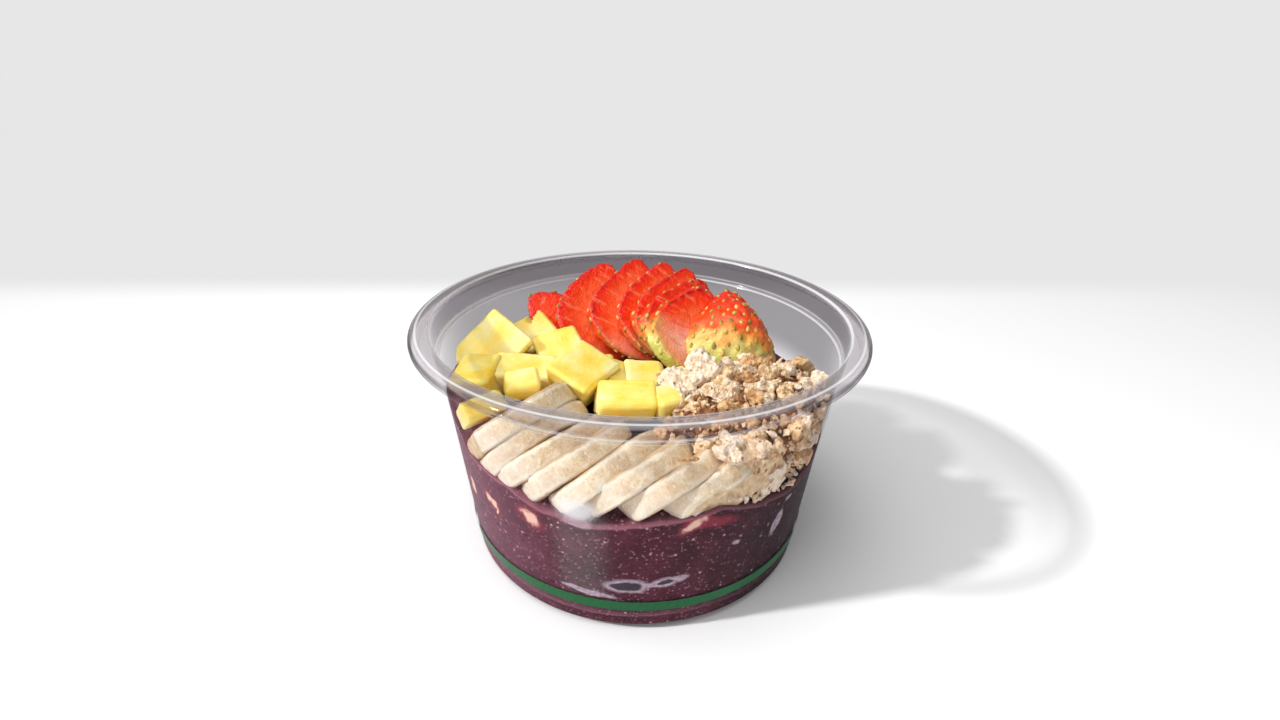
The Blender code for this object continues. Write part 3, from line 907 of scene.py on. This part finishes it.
def banana_finish():
    flesh = Finish("banana_flesh")
    spot = flesh.place("slice")
    ends = flesh.axes(spot)[0]
    mottle = flesh.noise(spot, 0.55, detail=5, roughness=0.6)
    fibres = flesh.noise(flesh.stretch(spot, (2.6, 2.6, 0.25)), 1.0, detail=3)
    blotch = flesh.noise(spot, 0.22, detail=4, roughness=0.6)
    fleck = flesh.noise(spot, 1.6, detail=3, roughness=0.7)
    thick = flesh.number("thick") + (mottle - 0.5) * 0.4
    face = flesh.ramp(mottle, (0.3, 186, 150, 108), (0.5, 216, 186, 144), (0.72, 238, 216, 178))
    side = flesh.layers(
        flesh.ramp(fibres * 0.3 + mottle * 0.7, (0.3, 216, 190, 148), (0.5, 238, 219, 184),
                   (0.7, 251, 242, 218)),
        (flesh.step(blotch, 0.48, 0.64) * 0.6, (214, 184, 138)),
        (flesh.number("tone") * 0.4, (208, 176, 134)),
        (flesh.step(fleck, 0.54, 0.68) * 0.7, (255, 246, 226)),
        (flesh.step(fleck, 0.44, 0.32) * 0.6, (196, 158, 112)),
        (flesh.step(ends, 7, 13) * 0.6, (222, 196, 158)),
        (flesh.step(ends, -9, -14) * 0.35, (255, 249, 236)),
        # painted highlight: the side is lighter towards its edges
        (flesh.step(thick, 0.4, 0.7) * 0.45, (255, 249, 232)),
        # partly the cut's fibrous rim, partly painted shade in the crease where slices press together
        (flesh.step(thick, 0.76, 0.98) * 0.75, (184, 146, 98)),
    )
    colour = flesh.layers(
        face,
        (flesh.step(flesh.number("side"), 0.2, 0.7), side),
        ((1 - flesh.step(flesh.cells(spot, 1.9), 0.05, 0.16)) * 0.5, (196, 156, 112)),
    )
    normal = flesh.bump(flesh.noise(spot, 2.4, detail=4), 0.00016)
    return flesh.done(flesh.surface(
        colour, 0.38, normal, Specular_IOR_Level=0.4,
        Subsurface_Weight=0.25, Subsurface_Scale=0.003, Subsurface_Radius=(1.0, 0.8, 0.5)))


make_kind("banana_slices", "banana", banana_slice, banana_finish())

# %% [markdown]
# ### Mango
# The mango is cut by hand into uneven blocks. Its faces are nearly flat, with fibres that run along
# the block and soft, slightly crushed edges.

# %% Mango
MANGO_VOXEL = 0.37 * MM
MANGO_TURNS = (  # each block's spin, tilt and lean in degrees
    (48, 44, -4), (42, 34, 4), (-62, 26, 8), (-12, 24, -8), (4, 20, -2), (20, 20, 10), (58, 24, 4),
    (10, 10, 4), (4, 14, 10), (8, 20, 0), (-30, 14, 16), (4, 16, 2), (24, 12, -8), (40, -20, -34),
)
MANGO_FULLER = 1.06  # the blocks are squeezed together


def mango_frame(node, index):
    low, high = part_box(node)
    spin, tilt, lean = MANGO_TURNS[index]
    return placed_at((low + high) / 2 / MM, turned_by((lean, "Y"), (tilt, "X"), (spin, "Z")))


def mango_block(node, index):
    mesh = remeshed(node, MANGO_VOXEL, 0)
    places = points_of(mesh)
    middle = (places.min(0) + places.max(0)) / 2
    places = middle + (places - middle) * MANGO_FULLER
    spot = local(places, mango_frame(node, index))
    fibres = noise_at(spot * np.array((0.12, 0.9, 0.9)), 1.0, index * 2.7)
    dents = noise_at(spot, 0.22, index * 4.1)
    places = places + normals_of(mesh) * ((0.06 * fibres + 0.14 * dents) * MM)[:, None]
    move_points(mesh, places)
    keep_places(mesh, "block", spot + (0, 0, 30 * index))
    return mesh


def mango_finish():
    flesh = Finish("mango_flesh")
    spot = flesh.place("block")
    fibres = flesh.noise(flesh.stretch(spot, (0.45, 1.1, 1.1)), 1.0, detail=4, roughness=0.6)
    patches = flesh.noise(spot, 0.14, detail=2)
    fine = flesh.noise(flesh.stretch(spot, (0.6, 3.0, 3.0)), 1.0, detail=3)
    colour = flesh.layers(
        flesh.ramp(fibres * 0.28 + patches * 0.72, (0.34, 252, 210, 66), (0.5, 254, 226, 118),
                   (0.66, 254, 236, 172)),
        (flesh.step(fine, 0.55, 0.8) * 0.14, (255, 248, 196)),
    )
    normal = flesh.bump(fine * 0.5 + fibres * 0.5, 0.0002)
    return flesh.done(flesh.surface(
        colour, 0.34, normal, Specular_IOR_Level=0.45,
        Subsurface_Weight=0.5, Subsurface_Scale=0.004, Subsurface_Radius=(1.0, 0.85, 0.35)))


make_kind("mango_blocks", "mango", mango_block, mango_finish())

# %% [markdown]
# ### Strawberry
# The berries are cut lengthwise and fanned out. The distance of a point from the skin tells skin
# from cut flesh: the flesh is deep red under the skin and pales to salmon at its heart, and the skin
# runs from red at the tip to yellow-green at the stalk end.

# %% Strawberry
BERRY_VOXEL = 0.5 * MM
BERRY_HALF_LENGTH = 19.5
BERRY_RADIUS = 16.0
BERRY_INCLINE = 38
BERRY_SKIN, BERRY_SKIN_EDGE = 0.9, 0.5  # mm, how deep points count as skin, and how softly it ends
BERRY_PIECES = (  # where each is cut, in mm from the axis, its scale, its middle, its lean and its spin
    (-17.0, -10.0, 0.85, (-30.0, 28.0, 53.0), 20, 60),
    (-9.5, -6.2, 1.1, (-11.4, 29.0, 52.6), 27, -14),
    (-6.5, -3.2, 1.06, (-1.0, 29.5, 52.4), 27, -15),
    (-5.8, -2.5, 1.02, (7.2, 29.0, 52.2), 27, -16),
    (-2.4, 0.9, 0.98, (12.0, 25.0, 52.6), 27, -17),
    (1.0, 4.3, 0.97, (14.3, 19.5, 53.3), 27, -17),
    (3.6, 7.2, 1.0, (16.0, 11.5, 54.6), 27, -15),
    (6.5, 17.0, 1.08, (28.0, 8.0, 56.0), 20, -4),
)
BERRY_TIP_SHIFT = (0.0, -5.0, -5.5, -4.5, -2.0, 0.0, 0.0, 0.0)  # sideways, in mm
BERRY_RIPENESS = (0.7, 0.75, 0.7, 0.65, 0.55, 0.35, 0.04, -0.1)  # how far the red reaches down each
BERRY_WIDTHS = ((-1, -0.5, 0, 0.25, 0.5, 0.75, 1), (1.04, 1.04, 0.86, 0.78, 0.73, 0.70, 0.78))


def berry_frame(index):
    """The whole berry's frame: X across, Y towards the tip, Z through the cuts."""
    low, high, size, centre, lean, spin = BERRY_PIECES[index]
    middle = (max(-BERRY_RADIUS * size, low) + min(BERRY_RADIUS * size, high)) / 2
    turn = turned_by((BERRY_INCLINE, "X"), (lean, "Y"), (spin, "Z"))
    return placed_at(centre, turn) @ Matrix.Translation((0, 0, -middle * MM))


def berry_reach(along, size):
    """The berry's radius in mm at places along it, and those places from -1, stalk, to 1, tip."""
    share = np.where(along > 0, along, along / 0.86) / (BERRY_HALF_LENGTH * size)
    share = np.clip(share, -0.999, 0.999)
    taper = 1 - 0.48 * np.maximum(0, share) ** 1.2 + 0.10 * np.maximum(0, -share) ** 2
    return np.sqrt(1 - share ** 2) * taper * BERRY_RADIUS * size, share


def berry_carving(spot, depth, share, skin, index):
    """How far each point moves in its piece's frame, in mm, to make the berry's true form."""
    angle = np.arctan2(spot[:, 2], spot[:, 0])
    flat = np.zeros_like(angle)
    # draw the skin back onto the true round of the berry, then pucker it
    creased = np.stack((np.cos(angle) * 9, spot[:, 1] * 0.55, np.sin(angle) * 9), 1)
    pucker = noise_at(creased, 0.62, index)
    near_end = np.clip((0.96 - np.abs(share)) / 0.1, 0, 1)
    shift = np.clip(depth, -0.6, 0.6) * skin * near_end * 0.8 + 0.85 * pucker * skin
    out = np.stack((np.cos(angle), flat, np.sin(angle)), 1)
    # broad at the stalk and straight-sided to the tip, which leans over in some of the slices
    narrower = np.interp(share, *BERRY_WIDTHS)
    lean_over = BERRY_TIP_SHIFT[index] * np.clip((share + 0.3) / 1.3, 0, 1) ** 1.3
    inward = np.stack((spot[:, 0] * (narrower - 1) + lean_over, flat, flat), 1)
    return out * shift[:, None] + inward


def berry_piece(node, index):
    mesh = remeshed(node, BERRY_VOXEL, 5)
    places = points_of(mesh)
    turn = berry_frame(index)
    size = BERRY_PIECES[index][2]
    spot = local(places, turn)
    reach, share = berry_reach(spot[:, 1], size)
    depth = reach - np.hypot(spot[:, 0], spot[:, 2])
    skin = np.clip((BERRY_SKIN - depth) / BERRY_SKIN_EDGE, 0, 1)
    dents = noise_at(spot, 0.5, index * 3.3) * 0.14 * (1 - skin)
    carving = berry_carving(spot, depth, share, skin, index)
    places = places + outward(carving * MM, turn) + normals_of(mesh) * (dents * MM)[:, None]
    move_points(mesh, places)
    keep_places(mesh, "berry", spot + (0, 0, 60 * index))
    keep_numbers(mesh, "depth", np.clip(depth / (BERRY_RADIUS * size), -0.2, 1))
    keep_numbers(mesh, "share", share + BERRY_RIPENESS[index])
    keep_numbers(mesh, "skin", skin)
    keep_places(mesh, "tipward", np.tile(np.array(turn)[:3, 1], (len(places), 1)))
    return mesh


def berry_inside(flesh, spot, depth, share, patch):
    """From just under the skin to the heart, paler at the stalk end, with fibres from heart to skin."""
    inward = depth + (patch - 0.5) * 0.16
    cut = flesh.ramp(inward, (0.03, 196, 12, 8), (0.09, 246, 38, 2), (0.24, 252, 66, 6),
                     (0.46, 251, 104, 52), (0.8, 250, 150, 118))
    pale = flesh.ramp(inward, (0.03, 232, 178, 112), (0.16, 244, 150, 104), (0.5, 244, 192, 176),
                      (0.95, 240, 206, 196))
    fibres = flesh.noise(flesh.stretch(spot, (0.12, 0.55, 0.3)), 1.0, detail=3, roughness=0.6)
    return flesh.layers(
        cut,
        (flesh.step(share + (patch - 0.5) * 0.3, 0.1, -0.45), pale),
        (flesh.step(fibres, 0.54, 0.7) * 0.45, (255, 158, 112)),
        (flesh.step(fibres, 0.45, 0.28) * 0.45, (224, 26, 12)),
    )


def berry_outside(flesh, spot, share, patch):
    """Yellow-green at the stalk end, turning red towards the tip, with a paler blush."""
    blush = flesh.noise(spot, 0.9, detail=3)
    outside = flesh.ramp(share * 0.5 + 0.5 + (patch - 0.5) * 0.3, (0.10, 190, 196, 92),
                         (0.21, 220, 214, 124), (0.31, 240, 172, 80), (0.42, 246, 84, 18),
                         (0.64, 240, 50, 10), (0.9, 222, 30, 34))
    return flesh.layers(outside, (flesh.step(blush, 0.5, 0.75) * 0.35, (246, 110, 96)))


def strawberry_finish():
    flesh = Finish("strawberry_flesh")
    spot = flesh.place("berry")
    depth = flesh.number("depth")
    share = flesh.number("share")
    patch = flesh.noise(spot, 0.3, detail=3)
    colour = flesh.layers(
        berry_inside(flesh, spot, depth, share, patch),
        (flesh.step(depth, 0.055, 0.02), berry_outside(flesh, spot, share, patch)),
    )
    normal = flesh.bump(flesh.noise(spot, 1.5, detail=4), 0.0003)
    return flesh.done(flesh.surface(
        colour, 0.27, normal,
        Subsurface_Weight=0.1, Subsurface_Scale=0.0025, Subsurface_Radius=(1.0, 0.3, 0.1)))


strawberries = make_kind("strawberry_slices", "strawberry", berry_piece, strawberry_finish())

# %% [markdown]
# ### Seeds
# The seeds sit in the skin all over, about 3 mm apart, each pointing to the berry's tip. They repeat
# over a surface, so Geometry Nodes scatter them: points are spread on the faces where the skin
# attribute is high, and one small teardrop is turned to each point. `Tree` builds such a tree and runs
# it on an object. Its result becomes a plain mesh at true size.

# %% Node tree helpers
DENSEST = 900000  # points a square metre, so that the spacing alone sets how close they lie


class Tree:
    """A Geometry Nodes tree with named inputs."""

    def __init__(self, name, **inputs):
        self.group = bpy.data.node_groups.new(name, "GeometryNodeTree")
        sockets = self.group.interface
        sockets.new_socket("Geometry", in_out="INPUT", socket_type="NodeSocketGeometry")
        self.sockets = {}
        for label, (kind, value) in inputs.items():
            socket = sockets.new_socket(label, in_out="INPUT", socket_type="NodeSocket" + kind)
            if value is not None and kind not in ("Object", "Collection"):
                socket.default_value = value
            self.sockets[label] = (socket.identifier, value)
        sockets.new_socket("Geometry", in_out="OUTPUT", socket_type="NodeSocketGeometry")
        self.start = self.group.nodes.new("NodeGroupInput")
        self.end = self.group.nodes.new("NodeGroupOutput")

    def add(self, kind, inputs=None, output=0, **settings):
        node = self.group.nodes.new(kind)
        for name, value in settings.items():
            setattr(node, name, value)
        for name, value in (inputs or {}).items():
            if isinstance(value, bpy.types.NodeSocket):
                self.group.links.new(value, node.inputs[name])
            else:
                node.inputs[name].default_value = value
        return node.outputs[output]

    def given(self, label):
        return self.start.outputs[label]

    def spread(self, **inputs):
        """Points all over the faces, no two nearer than the spacing, and the faces' normals there."""
        sockets = {"Mesh": self.given("Geometry"), "Distance Min": self.given("Spacing"),
                   "Density Max": DENSEST, "Seed": self.given("Seed")}
        sockets.update({name.replace("_", " "): value for name, value in inputs.items()})
        points = self.add("GeometryNodeDistributePointsOnFaces", sockets, distribute_method="POISSON")
        return points, points.node.outputs["Normal"]

    def chance(self, low, high, seed):
        """A random number for each point."""
        return self.add("FunctionNodeRandomValue", {2: low, 3: high, "Seed": seed}, output=1,
                        data_type="FLOAT")

    def done(self, geometry, material):
        real = self.add("GeometryNodeRealizeInstances", {"Geometry": geometry})
        painted = self.add("GeometryNodeSetMaterial", {"Geometry": real, "Material": material})
        self.group.links.new(painted, self.end.inputs[0])

    def grown_on(self, base, name, smooth=True, **changes):
        """Runs the tree on an object and returns the result as a plain mesh object."""
        bed = new_object(name + "_bed", base.data.copy())
        modifier = bed.modifiers.new("grow", "NODES")
        modifier.node_group = self.group
        for label, (identifier, value) in self.sockets.items():
            modifier[identifier] = changes.get(label, value)
        mesh = evaluated(bed, name)
        bed.modifiers.remove(modifier)
        bpy.data.objects.remove(bed)
        mesh.polygons.foreach_set("use_smooth", [smooth] * len(mesh.polygons))
        return new_object(name, mesh)


# %% Strawberry seeds
SEED_SPACING = 2.6 * MM
SEED_STRETCH = 0.95, 1.55, 0.55


def seed_shape():
    """A flat teardrop, its point along +Y, half sunk below the skin."""
    bm = bmesh.new()
    bmesh.ops.create_uvsphere(bm, u_segments=8, v_segments=6, radius=0.5)
    wide, long, high = SEED_STRETCH
    for vert in bm.verts:
        narrow = 1 - 0.9 * max(0.0, vert.co.y)
        vert.co = Vector((vert.co.x * wide * narrow, vert.co.y * long, vert.co.z * high * narrow)) * MM
    return new_object("seed_shape", mesh_from(bm, "seed_shape"))


def seed_finish():
    seed = Finish("strawberry_seed")
    tone = seed.noise(seed.place(), 300, detail=2)
    colour = seed.ramp(tone, (0.35, 126, 116, 34), (0.5, 182, 158, 58), (0.65, 222, 196, 102))
    return seed.done(seed.surface(colour, 0.4))


def seed_tree(shape, material):
    tree = Tree("seeds", Spacing=("Float", SEED_SPACING), Seed=("Int", 4), Shape=("Object", shape))
    skin = tree.add("GeometryNodeInputNamedAttribute", {"Name": "skin"}, data_type="FLOAT")
    points, normal = tree.spread(Density_Factor=skin)
    flat = tree.add("FunctionNodeAlignRotationToVector", {"Vector": normal}, axis="Z")
    tipward = tree.add("GeometryNodeInputNamedAttribute", {"Name": "tipward"}, data_type="FLOAT_VECTOR")
    turned_to_tip = tree.add("FunctionNodeAlignRotationToVector", {"Rotation": flat, "Vector": tipward},
                             axis="Y", pivot_axis="Z")
    teardrop = tree.add("GeometryNodeObjectInfo", {"Object": tree.given("Shape")}, output="Geometry")
    seeds = tree.add("GeometryNodeInstanceOnPoints", {"Points": points, "Instance": teardrop,
                     "Rotation": turned_to_tip, "Scale": tree.chance(1.0, 1.4, 7)})
    tree.done(seeds, material)
    return tree


seed = seed_shape()
seeds = seed_tree(seed, seed_finish()).grown_on(strawberries, "strawberry_seeds")
bpy.data.objects.remove(seed)
hand_over(seeds)

# %% [markdown]
# ### Granola
# Granola is a loose heap of baked oat clusters, flakes and crumbs. A smaller core, darkened as
# painted shade so that its cracks look deep, holds the heap's shape, and three sizes of cluster are
# scattered over it, from big pale lumps to crumbs. Each cluster is a few oat flakes pressed
# together: tilted ovals that a voxel remesh fuses, pitted with noise.

# %% Granola clusters
def oat_flake(bm, rng, seed, spread, flatness):
    """Adds one lumpy oval, at a random tilt near the middle."""
    verts = bmesh.ops.create_icosphere(bm, subdivisions=2, radius=0.5)["verts"]
    size = Vector((rng.uniform(0.45, 0.8), rng.uniform(0.35, 0.6), rng.uniform(0.6, 1.3) * flatness))
    turn = Euler([rng.uniform(-1.2, 1.2), rng.uniform(-1.2, 1.2), rng.uniform(0, 6.3)]).to_matrix()
    middle = Vector([rng.uniform(-spread, spread) for _ in range(3)])
    for vert in verts:
        lump = 1 + 0.5 * noise.noise(vert.co * 4.0 + Vector((seed, 0, 0)))
        lumpy = Vector([value * length * lump for value, length in zip(vert.co, size)])
        vert.co = turn @ lumpy + middle


def oat_cluster(name, seed, flakes, spread, voxel, flatness):
    """Flakes fused into one craggy lump, about 1 unit across."""
    rng = random.Random(seed)
    bm = bmesh.new()
    for _ in range(flakes):
        oat_flake(bm, rng, seed, spread, flatness)
    lump = new_object(name, mesh_from(bm, name))
    fused = lump.modifiers.new("fused", "REMESH")
    fused.mode = "VOXEL"
    fused.voxel_size = voxel
    fine = evaluated(lump, name)
    places = points_of(fine)
    pits = noise_at(places, 4.0, seed) * 0.09 + np.abs(noise_at(places, 9.0, seed)) * 0.07
    pits -= np.abs(noise_at(places, 15.0, seed)) * 0.05
    move_points(fine, places + normals_of(fine) * pits[:, None])
    lump.modifiers.remove(fused)
    lump.data = fine
    return lump


def oat_clusters(kind, count, first_seed, **shape):
    return [oat_cluster(kind + "_" + str(i), first_seed + i, **shape) for i in range(count)]


def shape_collection(name, shapes):
    """Shapes put away in a collection of their own, out of the scene."""
    collection = bpy.data.collections.new(name)
    for shape in shapes:
        collection.objects.link(shape)
        bpy.context.scene.collection.objects.unlink(shape)
    return collection


BIG_LUMPS = oat_clusters("large", 6, 10, flakes=12, spread=0.34, voxel=0.062, flatness=0.3)
SMALL_LUMPS = oat_clusters("small", 6, 30, flakes=3, spread=0.22, voxel=0.12, flatness=0.2)
PLATES = oat_clusters("plate", 4, 70, flakes=1, spread=0.0, voxel=0.09, flatness=0.16)
SPECKS = oat_clusters("crumb", 8, 50, flakes=2, spread=0.12, voxel=0.2, flatness=0.22)
LARGE = shape_collection("large", BIG_LUMPS)
SMALL = shape_collection("small", SMALL_LUMPS + PLATES)
CRUMBS = shape_collection("crumbs", SPECKS)

# %% [markdown]
# ### Granola finish
# Oats bake unevenly, so each cluster carries a tone of its own, from floury white through tan to
# toasted brown. Darker patches and flecks of bran break it up, and a fine bump makes it porous. The
# core has the same finish made much darker as painted shade, so that the gaps between the clusters
# look deep.

# %% Granola finish
def granola_finish(name, darker=0.0):
    crumb = Finish(name)
    place = crumb.place()
    tone = crumb.number("tone") * 0.72 + (crumb.noise(place, 110, detail=2) - 0.5) * 0.5 + darker
    mottle = crumb.noise(place, 620, detail=6, roughness=0.7)
    light = crumb.ramp(tone, (0.1, 250, 236, 216), (0.4, 243, 217, 178), (0.66, 230, 188, 134),
                       (0.9, 192, 128, 74), (1.0, 158, 108, 70))
    deep = crumb.ramp(tone, (0.1, 226, 198, 164), (0.4, 212, 172, 128), (0.66, 184, 134, 86),
                      (0.9, 132, 82, 48), (1.0, 96, 60, 40))
    bran = crumb.specks(place, 700, (0.16, 0.3), 260, (0.46, 0.54), squash=0.6)
    colour = crumb.layers(light, (crumb.step(mottle, 0.58, 0.4), deep), (bran * 0.85, (124, 78, 50)))
    pores = crumb.noise(place, 1500, detail=4, roughness=0.7)
    normal = crumb.bump(pores * 0.5 + mottle * 0.5, 0.0007)
    return crumb.done(crumb.surface(colour, 0.85, normal, Specular_IOR_Level=0.2))


BAKED = granola_finish("granola_clusters")
# painted shade: the core's finish is much darker so that the gaps look deep
CORE_PAINTED_SHADE = granola_finish("granola_core", 1.2)

# %% [markdown]
# ### The heap
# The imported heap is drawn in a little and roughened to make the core, which takes the solid's place.
# One Geometry Nodes tree then scatters clusters over it three times, with other sizes and spacings:
# each cluster is turned any way, lifted a little off the core, and given its tone. Where a cluster
# would go through the wall, its points are drawn in to it.

# %% Granola heap
CORE_VOXEL = 0.7 * MM
CORE_DEPTH = 1.9 * MM
CORE_GAP = 1.6 * MM
CLUSTER_GAP = 0.12 * MM
ANY_TURN = (6.28, 6.28, 6.28)


def scatter_tree(material):
    """Spreads the collection's clusters over the faces, turned any way."""
    tree = Tree("clusters", Spacing=("Float", 2 * MM), Low=("Float", 2 * MM), High=("Float", 3 * MM),
                Lift=("Float", 0.0), Seed=("Int", 1), Shapes=("Collection", None))
    seed = tree.given("Seed")
    points, normal = tree.spread()
    lift = tree.add("ShaderNodeVectorMath", {0: normal, "Scale": tree.given("Lift")},
                    operation="SCALE")
    placed = tree.add("GeometryNodeSetPosition", {"Geometry": points, "Offset": lift})
    shapes = tree.add("GeometryNodeCollectionInfo", {"Collection": tree.given("Shapes"),
                      "Separate Children": True, "Reset Children": True})
    turn = tree.add("FunctionNodeRandomValue", {0: (0, 0, 0), 1: ANY_TURN, "Seed": seed},
                    data_type="FLOAT_VECTOR")
    size = tree.chance(tree.given("Low"), tree.given("High"), seed)
    clusters = tree.add("GeometryNodeInstanceOnPoints", {"Points": placed, "Instance": shapes,
                        "Pick Instance": True, "Rotation": turn, "Scale": size})
    toned = tree.add("GeometryNodeStoreNamedAttribute", {"Geometry": clusters, "Name": "tone",
                     "Value": tree.chance(0.0, 1.0, 77)}, data_type="FLOAT", domain="INSTANCE")
    tree.done(toned, material)
    return tree


def kept_inside(places, gap):
    """Places drawn in so that nothing goes through the wall."""
    reach = np.array([wall_radius(height) for height in places[:, 2]]) - gap
    radius = np.hypot(places[:, 0], places[:, 1])
    pull = np.minimum(1, reach / np.maximum(radius, 1e-6))
    return places * np.stack((pull, pull, np.ones_like(pull)), 1)


def granola_core():
    mesh = remeshed("granola", CORE_VOXEL, 3)
    places = points_of(mesh)
    rough = noise_at(places, 420) * 0.9 + noise_at(places, 900) * 0.4
    places = places + normals_of(mesh) * (rough * MM - CORE_DEPTH)[:, None]
    move_points(mesh, kept_inside(places, CORE_GAP))
    return joined("granola_core", [mesh], CORE_PAINTED_SHADE)


def finish_granola(piece):
    move_points(piece.data, kept_inside(points_of(piece.data), CLUSTER_GAP))
    hand_over(piece)


def scattered(base, name, shapes, spacing, sizes, lift, seed):
    """Clusters over a piece. The spacing, the sizes and how far they stand off it are in mm."""
    return clusters.grown_on(base, name, smooth=False, Spacing=spacing * MM, Low=sizes[0] * MM,
                             High=sizes[1] * MM, Lift=lift * MM, Seed=seed, Shapes=shapes)


core = granola_core()
hand_over(core, ["granola"])
clusters = scatter_tree(BAKED)
for piece in (
    scattered(core, "granola_lumps", LARGE, spacing=7.5, sizes=(5.5, 8.5), lift=0.2, seed=3),
    scattered(core, "granola_clusters", SMALL, spacing=2.6, sizes=(3, 5.6), lift=0.7, seed=5),
    scattered(core, "granola_crumbs", CRUMBS, spacing=1.2, sizes=(1.4, 2.8), lift=0.5, seed=9),
):
    finish_granola(piece)

# %% [markdown]
# ### Clusters that catch the eye
# Some lumps and flakes stand out by their size or tone, so each of these is listed: its place
# and size in mm, and its tone from floury to toasted. Crumbs of their own are scattered over them,
# and loose crumbs lie on the acai between the heap and the wall.

# %% Notable and loose clusters
NOTABLE_LUMPS = (
    ((13.0, -17.5, 50.5), 15.0, -0.05), ((24.5, -13.5, 50.5), 11.0, 0.3),
    ((39.5, -6.0, 49.0), 8.0, 0.05), ((27.5, -38.5, 47.0), 11.0, 0.6),
    ((19.5, -43.5, 50.5), 6.5, 0.15), ((35.5, -32.0, 47.5), 8.0, 0.2),
    ((34.0, -6.5, 50.5), 6.5, 1.1), ((15.0, -24.5, 50.0), 5.0, 1.15),
    ((29.0, -23.0, 54.0), 7.0, 0.3),
)
NOTABLE_FLAKES = (
    ((10.5, -46.5, 50.0), 6.0, 1.0), ((28.8, -40.0, 52.5), 5.5, 0.1),
    ((24.2, -43.6, 37.8), 5.0, 0.15), ((5.0, -11.0, 51.0), 4.0, 0.9),
    ((20.0, -34.0, 52.0), 5.0, 0.5), ((33.0, -36.0, 40.5), 4.5, 0.1),
)
LOOSE_CRUMBS = 34


def grain(shape, spot, size, tone, rng):
    """One cluster turned any way, at a place and size in mm."""
    mesh = shape.data.copy()
    spin = Euler([rng.uniform(0, 6.3) for _ in range(3)]).to_matrix().to_4x4()
    mesh.transform(Matrix.Translation(Vector(spot) * MM) @ spin @ Matrix.Scale(size * MM, 4))
    keep_numbers(mesh, "tone", np.full(len(mesh.vertices), tone))
    return mesh


def loose_crumb(shapes, rng):
    """A single crumb on the acai between the heap and the wall."""
    turn = math.radians(rng.uniform(22, 54))
    size = rng.uniform(1.6, 3.6)
    radius = wall_radius(36 * MM) / MM - rng.uniform(0.5, 2.6)
    x, y = math.sin(turn) * radius, -math.cos(turn) * radius
    z = acai_level(x * MM, y * MM) / MM + rng.uniform(0.1, 0.9) * size
    return grain(rng.choice(shapes), (x, y, z), size, rng.uniform(0, 0.5), rng)


rng = random.Random(8)
lumps = zip(cycle(BIG_LUMPS), NOTABLE_LUMPS)
flakes = zip(cycle(PLATES), NOTABLE_FLAKES)
notable = [grain(shape, *values, rng) for shape, values in (*lumps, *flakes)]
notable = joined("granola_chunks", notable, BAKED)
dust = scattered(notable, "granola_dust", CRUMBS, spacing=2.4, sizes=(0.7, 1.8), lift=-0.1, seed=4)
loose = [loose_crumb(SMALL_LUMPS + PLATES, rng) for _ in range(LOOSE_CRUMBS)]
for piece in (notable, dust, joined("granola_loose", loose, BAKED)):
    piece.data.shade_flat()
    finish_granola(piece)
